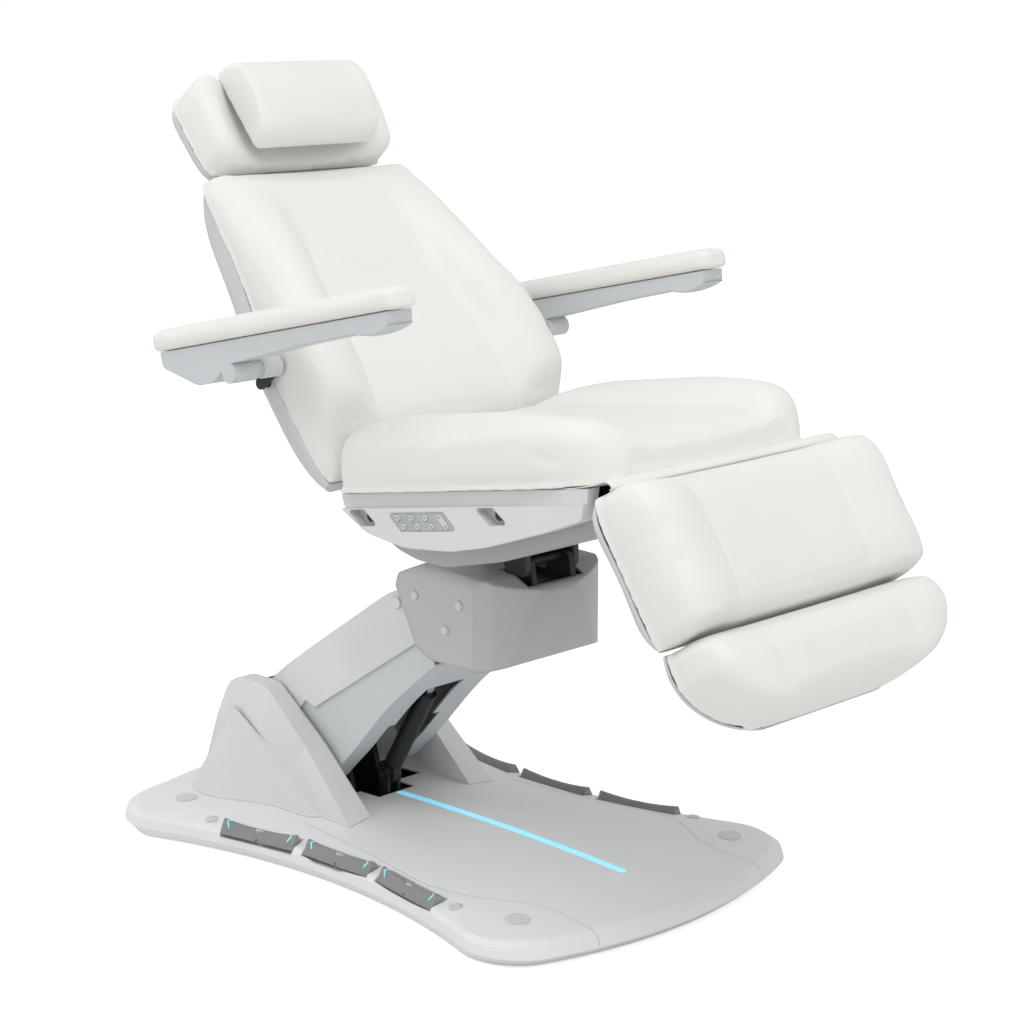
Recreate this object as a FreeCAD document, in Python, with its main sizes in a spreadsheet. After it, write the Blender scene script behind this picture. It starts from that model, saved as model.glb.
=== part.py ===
# Podiatry chair: a powered treatment chair on a low base with a parallel lift arm, a tilting seat,
# a reclining back with headrest and pillow, a leg rest with a sliding foot rest and foot pedals.
# Millimetres. X points to the foot end, Y to the sitter's left, Z up. The origin lies on the floor
# under the middle of the base.
import FreeCAD, Part
import math
import os
from types import SimpleNamespace
from FreeCAD import Vector

DOC = FreeCAD.newDocument("podiatry_chair")
SHEET = DOC.addObject("Spreadsheet::Sheet", "Sizes")

# Driving sizes in millimetres and degrees
SIZES = dict(
    # Gaps, walls and tools shared by all pieces
    running_gap=0.3,
    cover_gap=1.5,
    pin_clearance=0.05,
    cover_wall=3.5,
    frame_wall=3,
    overrun=6,
    # Base
    base_length=1184,
    base_width=752,
    base_foot=3,
    base_rim_height=44,
    base_crown_rise=25,
    base_plate_thickness=10,
    base_rim_width=32,
    led_length=544,
    led_width=17,
    led_height=2,
    led_front=425,
    base_cap_height=5,
    large_cap_radius=21,
    small_cap_radius=12.5,
    # Pedals
    pedal_length=165,
    pedal_width=33,
    pedal_height=25,
    pedal_waist=19,
    pedal_ridge=9,
    pedal_base_height=37,
    pedal_pitch=193,
    pedal_row_middle=17,
    pedal_row_side=275,
    pedal_row_flare=17.5,
    pedal_splay=10.2,
    pedal_gap=2,
    pedal_pocket_drop=7,
    pedal_pin_radius=3,
    pedal_lug_thickness=8,
    pedal_lug_reach=7,
    # Lift arm
    lift_pivot_height=260,
    lift_pivot_back=321,
    arm_length=389,
    arm_angle=33.6,
    link_spacing=100,
    arm_half_width=121,
    arm_pin_radius=8,
    arm_boss_radius=12,
    arm_hub_radius=20,
    upper_cover_rise=24,
    upper_cover_drop=78,
    upper_cover_overhang=15,
    lower_cover_depth=104,
    lower_cover_end_depth=32,
    lower_cover_rise=50,
    lower_cover_overhang=20,
    lower_slot_width=96,
    lower_slot_length=292,
    link_bar_width=30,
    link_bar_thickness=12,
    link_bar_inset=14,
    arm_bar_width=40,
    arm_bar_thickness=15,
    arm_bar_inset=31,
    arm_tube=34,
    arm_cap_radius=11,
    arm_cap_height=4,
    # Tower
    cheek_gap=5,
    cheek_band=34,
    cheek_flare=30,
    skirt_height=213,
    tower_rear_reach=171,
    tower_front_reach=279,
    tower_top_margin=11,
    tower_round=24,
    upright_inner=30,
    upright_thickness=12,
    upright_width=44,
    upright_foot_length=150,
    deck_hole_rear=125,
    deck_hole_front=140,
    deck_hole_half_width=112,
    deck_notch_front=191,
    deck_notch_half_width=46,
    # Lift actuator
    clevis_back=150,
    clevis_height=102,
    actuator_eye_along=360,
    actuator_eye_rise=20,
    actuator_tube_radius=17,
    actuator_rod_radius=8.5,
    actuator_eye_radius=23,
    actuator_eye_width=18,
    actuator_eye_play=7,
    actuator_pin_radius=6,
    clevis_thickness=7,
    motor_radius=21,
    motor_length=74,
    # Head under the seat
    head_half_width=150,
    head_length=256,
    head_height=170,
    head_rear=29,
    head_base=394,
    head_round=22,
    head_top_round=27,
    head_wall=4,
    head_cap_radius=8,
    head_cap_height=3.5,
    neck_width=108,
    neck_length=64,
    tilt_pivot_front=236,
    tilt_pivot_height=572,
    tilt_pin_radius=9,
    # Seat
    seat_angle=8.96,
    seat_back=56,
    seat_height=702,
    seat_length=574,
    seat_half_width=300,
    seat_crest=119,
    seat_frame_length=470,
    seat_frame_half_width=150,
    seat_tube=34,
    side_cover_length=562,
    side_cover_depth=88,
    side_cover_inner=258,
    side_cover_outer=291,
    side_cover_lip=8,
    side_cover_lip_depth=24,
    bowl_length=500,
    bowl_depth=135,
    bowl_half_width=236,
    bowl_flare=16,
    pocket_length=42,
    pocket_height=28,
    pocket_slant=30,
    pocket_depth=20,
    pocket_wall=2.5,
    socket_radius=9,
    socket_height=6,
    rear_pocket_along=3,
    front_pocket_along=304,
    keypad_along=102,
    keypad_length=131,
    keypad_height=30,
    keypad_slant=27,
    keypad_drop=33,
    keypad_thickness=4,
    key_pitch=33,
    key_row=14,
    key_radius=5.6,
    key_height=6,
    key_proud=1.4,
    flap_length=46,
    flap_thickness=3,
    flap_drop=8,
    flap_half_width=250,
    # Back
    back_corner_x=28,
    back_corner_z=722,
    back_hinge_along=8,
    back_hinge_depth=33,
    back_angle=50.7,
    back_length=618,
    back_half_width=300,
    back_crest=110,
    back_seam=16,
    back_shell_depth=66,
    back_round=20,
    back_frame_half_width=170,
    back_tube=26,
    hinge_pin_radius=8,
    hinge_knuckle_radius=14,
    hinge_strap_width=24,
    hinge_lug_width=22,
    # Headrest and pillow
    headrest_gap=8,
    headrest_length=172,
    headrest_half_width=215,
    headrest_crest=84,
    headrest_shell_depth=26,
    headrest_post_radius=7,
    headrest_post_length=190,
    headrest_post_side=62,
    pillow_length=170,
    pillow_half_width=144,
    pillow_height=74,
    pillow_face=54,
    # Leg rest and foot rest
    leg_corner_x=600,
    leg_corner_z=752,
    leg_hinge_reach=19,
    leg_hinge_rise=28,
    leg_pin_radius=4,
    leg_knuckle_radius=6,
    leg_angle=57,
    leg_length=254,
    leg_half_width=306,
    leg_crest=134,
    leg_shell_depth=23,
    leg_overhang=12,
    foot_gap=6,
    foot_length=150,
    foot_half_width=295,
    foot_crest=134,
    foot_shell_depth=17,
    foot_rod_radius=5,
    foot_rod_length=230,
    foot_rod_side=110,
    # Armrests
    arm_rest_along=217.3,
    arm_rest_depth=20.2,
    arm_plate_side=300.5,
    arm_plate_thickness=6,
    arm_rest_angle=12.2,
    arm_rest_length=611,
    arm_rest_inner=346,
    arm_rest_outer=418,
    arm_pad_thickness=38,
    arm_pad_base=54,
    arm_pad_rear=191,
    arm_beam_inset=10,
    arm_beam_depth=44,
    arm_knob_radius=46,
    arm_knob_drop=9,
    arm_axle_radius=9,
    # Drives inside the seat and the head
    drive_radius=15,
    drive_rod_radius=6.5,
    drive_eye_radius=16,
    drive_eye_width=14,
    drive_eye_play=5.5,
    drive_pin_radius=5,
    drive_side=90,
    drive_ear_thickness=6,
    drive_bay_half_width=18,
    back_lever=42,
    back_lever_angle=248,
    back_drive_along=300,
    back_drive_drop=25,
    leg_lever=40,
    leg_lever_angle=242,
    leg_drive_along=250,
    leg_drive_drop=38,
    tilt_drive_rear=116,
    tilt_drive_drop=120,
    tilt_eye_rear=112,
    tilt_eye_rise=4,
    tilt_eye_play=2,
)

for row_number, (name, value) in enumerate(SIZES.items(), start=1):
    SHEET.set("A%d" % row_number, name)
    SHEET.set("B%d" % row_number, str(value))
    SHEET.setAlias("B%d" % row_number, name)
DOC.recompute()
S = SimpleNamespace(**{name: float(SHEET.get(name)) for name in SIZES})

SUB_PARTS = []


# Frames and placements

class Frame:
    """A tilted set of axes in the plane y = 0: u runs along a piece, n stands off its upper face."""

    def __init__(self, x, z, angle, mirrored=False):
        turn = math.radians(angle)
        self.origin = Vector(x, 0, z)
        self.u = Vector(math.cos(turn), 0, math.sin(turn))
        self.y = Vector(0, -1 if mirrored else 1, 0)
        self.n = self.u.cross(self.y)
        self.rotation = FreeCAD.Rotation(self.u, self.y, self.n, "XZY")
        self.placement = FreeCAD.Placement(self.origin, self.rotation)

    def at(self, u, y, n):
        return self.origin + self.u * u + self.y * y + self.n * n

    def turned(self, u, n, angle):
        place = self.at(u, 0, n)
        base = math.degrees(math.atan2(self.u.z, self.u.x))
        return Frame(place.x, place.z, base + angle, self.y.y < 0)

    def inside(self, place):
        run = place - self.origin
        return Vector(run.dot(self.u), run.dot(self.y), run.dot(self.n))


def frame_between(start, end):
    run = end - start
    return Frame(start.x, start.z, math.degrees(math.atan2(run.z, run.x)))


# Places of the joints at rest
ROOM = Frame(0, 0, 0)
ARM_A = Frame(-S.lift_pivot_back, S.lift_pivot_height, S.arm_angle)
ARM_B = ARM_A.turned(0, -S.link_spacing, 0)
HEAD_A = ARM_A.at(S.arm_length, 0, 0)
HEAD_B = ARM_B.at(S.arm_length, 0, 0)
SEAT = Frame(S.seat_back, S.seat_height, S.seat_angle)
BACK = Frame(S.back_corner_x, S.back_corner_z, 180 - S.back_angle, True)
BACK_HINGE = BACK.at(S.back_hinge_along, 0, -S.back_hinge_depth)
LEG = Frame(S.leg_corner_x, S.leg_corner_z, -S.leg_angle)
LEG_HINGE = LEG.at(-S.leg_hinge_reach, 0, S.leg_hinge_rise)
ARM_REST_AXLE = BACK.at(S.arm_rest_along, 0, S.arm_rest_depth)
ARM_REST = Frame(ARM_REST_AXLE.x, ARM_REST_AXLE.z, S.arm_rest_angle)
TILT = Frame(S.tilt_pivot_front, S.tilt_pivot_height, 0)


# Document helpers

def bind(thing, **sizes):
    for prop, cell in sizes.items():
        thing.setExpression(prop, "Sizes." + cell)
    return thing


def keep(thing, label, frame=None):
    thing.Label = label
    if frame is not None:
        thing.Placement = frame.placement
    SUB_PARTS.append(thing)
    return thing


def feature(label, shape, frame=None):
    thing = DOC.addObject("Part::Feature", label)
    thing.Shape = shape
    return keep(thing, label, frame)


def sketch_curve(edge, to_sketch):
    first, last = edge.ParameterRange
    if isinstance(edge.Curve, Part.Circle):
        if edge.isClosed():
            return Part.Circle(to_sketch.multVec(edge.Curve.Center), Vector(0, 0, 1), edge.Curve.Radius)
        ends = [to_sketch.multVec(edge.valueAt(t)) for t in (first, (first + last) / 2, last)]
        return Part.Arc(*ends)
    return Part.LineSegment(to_sketch.multVec(edge.valueAt(first)), to_sketch.multVec(edge.valueAt(last)))


# Shape helpers, all drawn in x and z unless they say otherwise

def arc(start, middle, end):
    return Part.Arc(start, middle, end).toShape()


def segment(start, end):
    return Part.makeLine(start, end)


def rounded(points, radii):
    """A closed wire through the points whose corners are arcs of the radii that the points give."""
    count = len(points)
    corners = []
    for index, point in enumerate(points):
        before = (points[index - 1] - point).normalize()
        after = (points[(index + 1) % count] - point).normalize()
        radius = radii[index]
        half = before.getAngle(after) / 2
        if radius <= 0 or half > math.pi / 2 * (1 - 1e-6):
            corners.append((point, point, point))
            continue
        reach = radius / math.tan(half)
        centre = point + (before + after).normalize() * (radius / math.sin(half))
        middle = centre + (point - centre).normalize() * radius
        corners.append((point + before * reach, middle, point + after * reach))
    edges = []
    for index, (start, middle, end) in enumerate(corners):
        if start != end:
            edges.append(arc(start, middle, end))
        edges.append(segment(end, corners[(index + 1) % count][0]))
    return Part.Wire(edges)


def side_points(places, y=0):
    return [Vector(x, y, z) for x, z in places]


def side_wire(places, radius=0, y=0):
    radii = radius if isinstance(radius, (list, tuple)) else [radius] * len(places)
    return rounded(side_points(places, y), radii)


def shared(places, length, height, x=0, z=0):
    return [(x + a * length, z + b * height) for a, b in places]


def prism(wire, start, end):
    """The wire, drawn at y = 0, filled and run from y = start to y = end."""
    face = Part.Face(wire)
    face.translate(Vector(0, start, 0))
    return face.extrude(Vector(0, end - start, 0))


def bar_wire(first, last, half):
    """A bar with round ends about two places given as x and z."""
    start = Vector(first[0], 0, first[1])
    end = Vector(last[0], 0, last[1])
    along = (end - start).normalize() * half
    across = Vector(-along.z, 0, along.x)
    return Part.Wire([
        segment(start + across, end + across),
        arc(end + across, end + along, end - across),
        segment(end - across, start - across),
        arc(start - across, start - along, start + across),
    ])


def plate_bar(first, last, half, start, end):
    return prism(bar_wire(first, last, half), start, end)


def rod(start, end, radius):
    run = end - start
    return Part.makeCylinder(radius, run.Length, start, run)


def cross_rod(x, z, start, end, radius):
    return Part.makeCylinder(radius, end - start, Vector(x, start, z), Vector(0, 1, 0))


def block(x, y, z):
    return Part.makeBox(x[1] - x[0], y[1] - y[0], z[1] - z[0], Vector(x[0], y[0], z[0]))


def joined(first, *others):
    return first.fuse(list(others)).removeSplitter()


def mirrored(shape):
    return shape.mirror(Vector(), Vector(0, 1, 0))


def both_sides(shape):
    return Part.makeCompound([shape, mirrored(shape)])


def loft(wires, ruled=False):
    return Part.makeLoft(wires, True, ruled)


# Base

BASE_OUTLINE_SHARES = SimpleNamespace(
    rear_end=(-0.946, -0.612), rear_corner=(-0.885, -0.872), side_start=(-0.727, -0.990),
    waist=(0.0, -0.785), side_end=(0.693, -0.975), front_corner=(0.810, -0.957), front_end=(0.912, -0.771),
)
BASE_RIM_SHARES = ((0.970, 0.0), (1.0, 0.36), (0.992, 0.78), (0.965, 1.0))
BASE_CROWN_SHARES = (0.80, 0.55, 0.30, 0.10)


def base_wire(share, z, inset=0):
    half_length = S.base_length / 2 * share - inset
    half_width = S.base_width / 2 * share - inset
    o = BASE_OUTLINE_SHARES

    def spot(place, side=1):
        return Vector(place[0] * half_length, side * place[1] * half_width, z)

    front = Vector(half_length, 0, z)
    rear = Vector(-half_length, 0, z)
    return Part.Wire([
        arc(spot(o.rear_end), spot(o.rear_corner), spot(o.side_start)),
        arc(spot(o.side_start), spot(o.waist), spot(o.side_end)),
        arc(spot(o.side_end), spot(o.front_corner), spot(o.front_end)),
        arc(spot(o.front_end), front, spot(o.front_end, -1)),
        arc(spot(o.front_end, -1), spot(o.front_corner, -1), spot(o.side_end, -1)),
        arc(spot(o.side_end, -1), spot(o.waist, -1), spot(o.side_start, -1)),
        arc(spot(o.side_start, -1), spot(o.rear_corner, -1), spot(o.rear_end, -1)),
        arc(spot(o.rear_end, -1), rear, spot(o.rear_end)),
    ])


def crown_height(share):
    return S.base_rim_height + S.base_crown_rise * (1 - share ** 2)


def base_skin(drop=0):
    """The solid under the crowned top, lowered by drop."""
    rim_rise = S.base_rim_height - S.base_foot
    wires = [base_wire(share, S.base_foot + rise * rim_rise - drop) for share, rise in BASE_RIM_SHARES]
    wires += [base_wire(share, crown_height(share) - drop) for share in BASE_CROWN_SHARES]
    return loft(wires, ruled=True)


def deck_height(x, y=0):
    """Height of the crowned top at a place that lies well inside the outline."""
    share = max(abs(x) / (S.base_length / 2), abs(y) / (S.base_width / 2))
    return crown_height(min(share, 1))


def pedal_frames():
    for side_name, side in (("right", -1), ("left", 1)):
        for place_name, step in (("rear", -1), ("middle", 0), ("front", 1)):
            x = S.pedal_row_middle + step * S.pedal_pitch
            y = side * (S.pedal_row_side + abs(step) * S.pedal_row_flare)
            turn = FreeCAD.Rotation(Vector(0, 0, 1), step * side * S.pedal_splay)
            yield side_name, place_name, FreeCAD.Placement(Vector(x, y, S.pedal_base_height), turn)


def pedal_room(gap, drop):
    half_length = S.pedal_length / 2 + gap
    half_width = S.pedal_width / 2 + gap
    return block((-half_length, half_length), (-half_width, half_width), (-drop, S.pedal_height))


PEDAL_PIN_RISE_SHARE = 0.35


def pedal_pin_height():
    return S.pedal_height * PEDAL_PIN_RISE_SHARE


def pedal_lug():
    """The ear in the pocket floor that carries a pedal's pin."""
    half = S.pedal_lug_thickness / 2
    foot = block((-S.pedal_lug_reach, S.pedal_lug_reach), (-half, half),
                 (-S.pedal_pocket_drop, pedal_pin_height()))
    head = cross_rod(0, pedal_pin_height(), -half, half, S.pedal_lug_reach)
    bore = cross_rod(0, pedal_pin_height(), -half, half, S.pedal_pin_radius + S.pin_clearance)
    return foot.fuse(head).cut(bore)


def make_base():
    body = DOC.addObject("PartDesign::Body", "base_plate")
    sketch = body.newObject("Sketcher::SketchObject", "base_plate_outline")
    planes = {item.Role: item for item in body.Origin.OriginFeatures}
    sketch.AttachmentSupport = [(planes["XY_Plane"], "")]
    sketch.MapMode = "FlatFace"
    for edge in base_wire(1, 0, S.base_rim_width).Edges:
        sketch.addGeometry(sketch_curve(edge, FreeCAD.Placement()), False)
    pad = body.newObject("PartDesign::Pad", "base_plate_pad")
    pad.Profile = sketch
    pad.setExpression("Length", "Sizes.base_plate_thickness")
    keep(body, "base_plate")

    skin = base_skin()
    room_wire = base_wire(1, -S.overrun, S.base_rim_width - S.running_gap)
    room = Part.Face(room_wire).extrude(Vector(0, 0, S.base_rim_height + S.base_crown_rise + S.overrun))
    cover = skin.cut(room.common(base_skin(S.cover_wall).fuse(room_below())))
    for _, _, place in pedal_frames():
        tray = pedal_room(S.pedal_gap + S.cover_wall, S.pedal_pocket_drop + S.cover_wall)
        tray.Placement = place
        pocket = pedal_room(S.pedal_gap, S.pedal_pocket_drop)
        pocket.Placement = place
        lug = pedal_lug()
        lug.Placement = place
        cover = cover.fuse(tray.common(skin)).cut(pocket).fuse(lug)
    groove = led_column(S.running_gap).cut(base_skin(S.led_height + S.running_gap))
    pivot_x = ARM_A.origin.x
    hole = block((pivot_x - S.deck_hole_rear, pivot_x + S.deck_hole_front),
                 (-S.deck_hole_half_width, S.deck_hole_half_width),
                 (-S.overrun, S.base_rim_height + S.base_crown_rise + S.overrun))
    notch = block((pivot_x, pivot_x + S.deck_notch_front),
                  (-S.deck_notch_half_width, S.deck_notch_half_width),
                  (-S.overrun, S.base_rim_height + S.base_crown_rise + S.overrun))
    hole = hole.fuse(notch).removeSplitter()
    feature("base_cover", cover.cut(groove).cut(hole).removeSplitter())
    make_led(skin)
    make_base_caps(skin)


def room_below():
    """The space from under the plate up to the rim, inside the cover."""
    wire = base_wire(1, -S.overrun, S.base_rim_width - S.running_gap)
    return Part.Face(wire).extrude(Vector(0, 0, S.overrun + S.base_plate_thickness + S.running_gap))


def led_column(gap):
    """A tall slot-shaped column on the middle of the deck, cut by the deck's own skin to the strip."""
    half = S.led_width / 2 + gap
    rear = S.led_front - S.led_length
    height = S.base_rim_height + S.base_crown_rise * 2
    bar = block((rear, S.led_front), (-half, half), (0, height))
    ends = [Part.makeCylinder(half, height, Vector(x, 0, 0)) for x in (rear, S.led_front)]
    return bar.fuse(ends).removeSplitter()


def make_led(skin):
    """The light strip follows the deck, flush with it."""
    feature("led_strip", led_column(0).common(skin).cut(base_skin(S.led_height)))


BASE_CAP_SHARES = SimpleNamespace(large=((-0.704, 0.713), (0.743, 0.726)),
                                  small=((-0.508, 0.806), (0.557, 0.809)))


def make_base_caps(skin):
    caps = []
    for places, radius in (
        (BASE_CAP_SHARES.large, S.large_cap_radius),
        (BASE_CAP_SHARES.small, S.small_cap_radius),
    ):
        for along, across in places:
            x = along * S.base_length / 2
            y = across * S.base_width / 2
            top = base_top_at(skin, x, y) + S.base_cap_height / 2
            cap = Part.makeCylinder(radius, S.base_cap_height, Vector(x, y, top - S.base_cap_height))
            crown = [edge for edge in cap.Edges if abs(edge.BoundBox.ZMin - top) < S.pin_clearance]
            caps.append(cap.makeFillet(S.base_cap_height / 3, crown).cut(skin))
    feature("base_screw_caps", both_sides(Part.makeCompound(caps)))


def base_top_at(skin, x, y):
    probe = Part.makeLine(Vector(x, y, 0), Vector(x, y, S.base_rim_height + S.base_crown_rise + S.overrun))
    return probe.common(skin).BoundBox.ZMax


# Pedals

def pedal_section(x, height):
    half = S.pedal_width / 2
    ridge = S.pedal_ridge / 2
    shoulder = height * PEDAL_SHOULDER_SHARE
    left = Vector(x, -half, 0)
    right = Vector(x, half, 0)
    return Part.Wire([
        segment(left, right),
        segment(right, Vector(x, ridge, shoulder)),
        arc(Vector(x, ridge, shoulder), Vector(x, 0, height), Vector(x, -ridge, shoulder)),
        segment(Vector(x, -ridge, shoulder), left),
    ])


PEDAL_SHOULDER_SHARE = 0.90


def make_pedals():
    half = S.pedal_length / 2
    rocker = loft([pedal_section(-half, S.pedal_height), pedal_section(0, S.pedal_waist),
                   pedal_section(half, S.pedal_height)])
    slot_half = S.pedal_lug_thickness / 2 + S.running_gap
    slot_reach = S.pedal_lug_reach + S.pedal_gap
    slot_top = pedal_pin_height() + S.pedal_lug_reach + S.running_gap
    slot = block((-slot_reach, slot_reach), (-slot_half, slot_half), (-S.overrun, slot_top))
    pin = cross_rod(0, pedal_pin_height(), -slot_half, slot_half, S.pedal_pin_radius)
    pedal = rocker.cut(slot).fuse(pin).removeSplitter()
    for side_name, place_name, place in pedal_frames():
        thing = feature("pedal_%s_%s" % (side_name, place_name), pedal.copy())
        thing.Placement = place


# Tower

TOWER_SIDE_SHARES = ((0.0, 0.0), (0.115, 0.716), (0.187, 1.0), (0.405, 1.0), (0.680, 0.655), (1.05, 0.08),
                     (1.05, 0.0))
TOWER_ROUND_SHARES = (0, 3, 2, 2.4, 8, 0, 0)


def tower_height():
    return S.lift_pivot_height + S.tower_top_margin


def tower_outline(inset=0):
    x = -S.lift_pivot_back - S.tower_rear_reach
    length = S.tower_rear_reach + S.tower_front_reach
    radii = [share * S.tower_round for share in TOWER_ROUND_SHARES]
    wire = side_wire(shared(TOWER_SIDE_SHARES, length, tower_height(), x), radii)
    return wire.makeOffset2D(-inset) if inset else wire


def cheek_section(inset=0):
    """The cheek seen from the front, in y and z: upright within, flared without."""
    inner = S.arm_half_width + S.cheek_gap
    outer = inner + S.cheek_band - inset
    low = outer + S.cheek_flare
    top = tower_height() + S.overrun
    points = [Vector(0, inner + inset, -S.overrun), Vector(0, low, -S.overrun), Vector(0, outer, top),
              Vector(0, inner + inset, top)]
    return Part.makePolygon(points + points[:1])


def cheek(inset=0):
    x = -S.lift_pivot_back - S.tower_rear_reach - S.overrun
    run = S.tower_rear_reach + S.tower_front_reach + 3 * S.overrun + S.tower_round * 2
    side = prism(tower_outline(inset), 0, S.base_width / 2)
    section = Part.Face(cheek_section(inset)).extrude(Vector(run, 0, 0))
    section.translate(Vector(x, 0, 0))
    return side.common(section).fuse(side.common(skirt(inset)))


# The tower's skirt runs out on the cheek in an arch
SKIRT_SHARES = ((-0.109, 0.17), (-0.031, 1.83), (0.102, 3.0), (0.256, 3.27), (0.46, 2.5), (0.778, 1.73),
                (0.958, 1.3),
                (1.036, 0.17))
SKIRT_APEX_SHARES = (0.236, 0.47)
SKIRT_TIP_SHARE = 0.02


def skirt_ring(scale, z):
    x = -S.lift_pivot_back - S.tower_rear_reach
    length = S.tower_rear_reach + S.tower_front_reach
    wall = S.arm_half_width + S.cheek_gap + S.cheek_band
    spots = [Vector(a, b, z) for a, b in shared(SKIRT_SHARES, length, S.cheek_flare, x, wall)]
    apex = [Vector(a, b, z) for a, b in shared([SKIRT_APEX_SHARES], length, S.cheek_flare, x, wall)][0]
    spots = [apex + (spot - apex) * scale for spot in spots]
    curve = Part.BSplineCurve()
    curve.interpolate(spots)
    return Part.Wire([curve.toShape(), segment(spots[-1], spots[0])])


def skirt(inset=0):
    flare = Part.makeLoft([skirt_ring(1, 0), skirt_ring(SKIRT_TIP_SHARE, S.skirt_height)], True, True)
    flare.translate(Vector(0, -inset, -inset))
    return flare


def rear_wall():
    """Half of the tower's back wall, from the cheek to the middle."""
    inner = S.arm_half_width + S.cheek_gap
    wall = prism(tower_outline(), 0, inner + S.cover_wall)
    room = prism(tower_outline(S.cover_wall), -S.overrun, inner + S.cover_wall + S.overrun)
    x = -S.lift_pivot_back - S.tower_rear_reach
    limit = block((x - S.overrun, x + S.tower_rear_reach * REAR_WALL_SHARE), (0, S.base_width),
                  (0, tower_height() * REAR_WALL_TOP_SHARE))
    return wall.cut(room).common(limit)


REAR_WALL_SHARE = 0.55
REAR_WALL_TOP_SHARE = 0.90


def make_tower():
    skin = base_skin()
    hollow = cheek(S.cover_wall)
    half = cheek().cut(hollow).fuse(rear_wall()).cut(skin).removeSplitter()
    half = max(half.Solids, key=lambda solid: solid.Volume)
    feature("tower_cover_left", half)
    feature("tower_cover_right", mirrored(half))


def upright():
    """One steel cheek plate of the bracket, from the base plate to the upper pivot."""
    a = ARM_A.origin
    b = ARM_B.origin
    foot = S.base_plate_thickness
    rear = a.x - S.upright_width / 2
    half = S.arm_hub_radius
    hull = side_wire([(rear, foot), (rear + S.upright_foot_length, foot), (b.x + half, b.z),
                      (b.x, b.z + half),
                      (b.x - half, b.z)], [0, 0, half / 2, half / 2, half / 2])
    ends = (S.upright_inner, S.upright_inner + S.upright_thickness)
    return joined(prism(hull, *ends), plate_bar((a.x, a.z), (b.x, b.z), S.arm_boss_radius, *ends),
                  cross_rod(b.x, b.z, *ends, half))


def pin_set(places, radius, reach):
    return [cross_rod(place.x, place.z, -reach, reach, radius) for place in places]


def make_tower_bracket():
    uprights = both_sides(upright())
    reach = S.arm_half_width - S.link_bar_inset
    pins = pin_set([ARM_A.origin, ARM_B.origin], S.arm_pin_radius, reach)
    foot = S.base_plate_thickness
    outer = S.upright_inner + S.upright_thickness
    rear = ARM_A.origin.x - S.upright_width / 2
    ties = block((rear, rear + S.upright_foot_length), (-outer, outer), (foot, foot + S.upright_thickness))
    bracket = joined(uprights.Solids[0], uprights.Solids[1], ties, *pins)
    bracket = bracket.fuse(lift_clevis())
    feature("tower_bracket", bracket.removeSplitter())


def lift_clevis():
    """Two ears and their pin at the front of the tower, where the lift actuator stands."""
    x = -S.clevis_back
    z = S.clevis_height
    inner = S.actuator_eye_width / 2 + S.running_gap
    outer = inner + S.clevis_thickness
    half = S.actuator_pin_radius * 2
    foot = S.base_plate_thickness
    rear = ARM_A.origin.x
    ear = plate_bar((x, z), (x, foot + half), half, inner, outer)
    ear = joined(ear, block((x - half, x + half), (inner, outer), (foot, foot + half * 2)))
    reach = outer + S.clevis_thickness
    pin = cross_rod(x, z, -reach, reach, S.actuator_pin_radius)
    sole = block((rear, x + half), (-outer, outer), (foot, foot + S.clevis_thickness))
    return joined(ear, mirrored(ear), pin, sole)


# Lift arm

UPPER_COVER_SHARES = ((0.0, 0.68), (0.12, 0.93), (0.40, 1.0), (0.92, 1.0), (1.0, 0.78))
UPPER_COVER_ROUND_SHARES = (1.5, 5.0, 0.5)
UPPER_COVER_HOOK_SHARES = SimpleNamespace(
    end=(1.0, -1.03), start=(0.205, -0.96), notch=(0.170, -0.69), heel=(0.095, -0.79), rear=(0.0, -0.12),
)
LOWER_COVER_SHARES = ((0.02, 1.0), (0.28, 0.80), (0.60, 0.48), (0.85, 0.36), (1.0, 0.31))
LOWER_COVER_ROUND_SHARES = (2.0, 1.8, 3.0)


def upper_cover_wire():
    start = -S.upper_cover_overhang
    length = S.arm_length + 2 * S.upper_cover_overhang
    top = shared(UPPER_COVER_SHARES, length, S.upper_cover_rise, start)
    h = UPPER_COVER_HOOK_SHARES
    low = shared([h.end, h.start, h.notch, h.heel, h.rear], length, S.upper_cover_drop, start)
    radii = [S.cover_gap * 4] + [S.arm_length
                                 * share for share in UPPER_COVER_ROUND_SHARES] + [S.cover_gap * 4]
    return side_wire(top + low, radii + [0, S.cover_gap * 4, S.cover_gap * 4, S.cover_gap * 4, 0])


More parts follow.
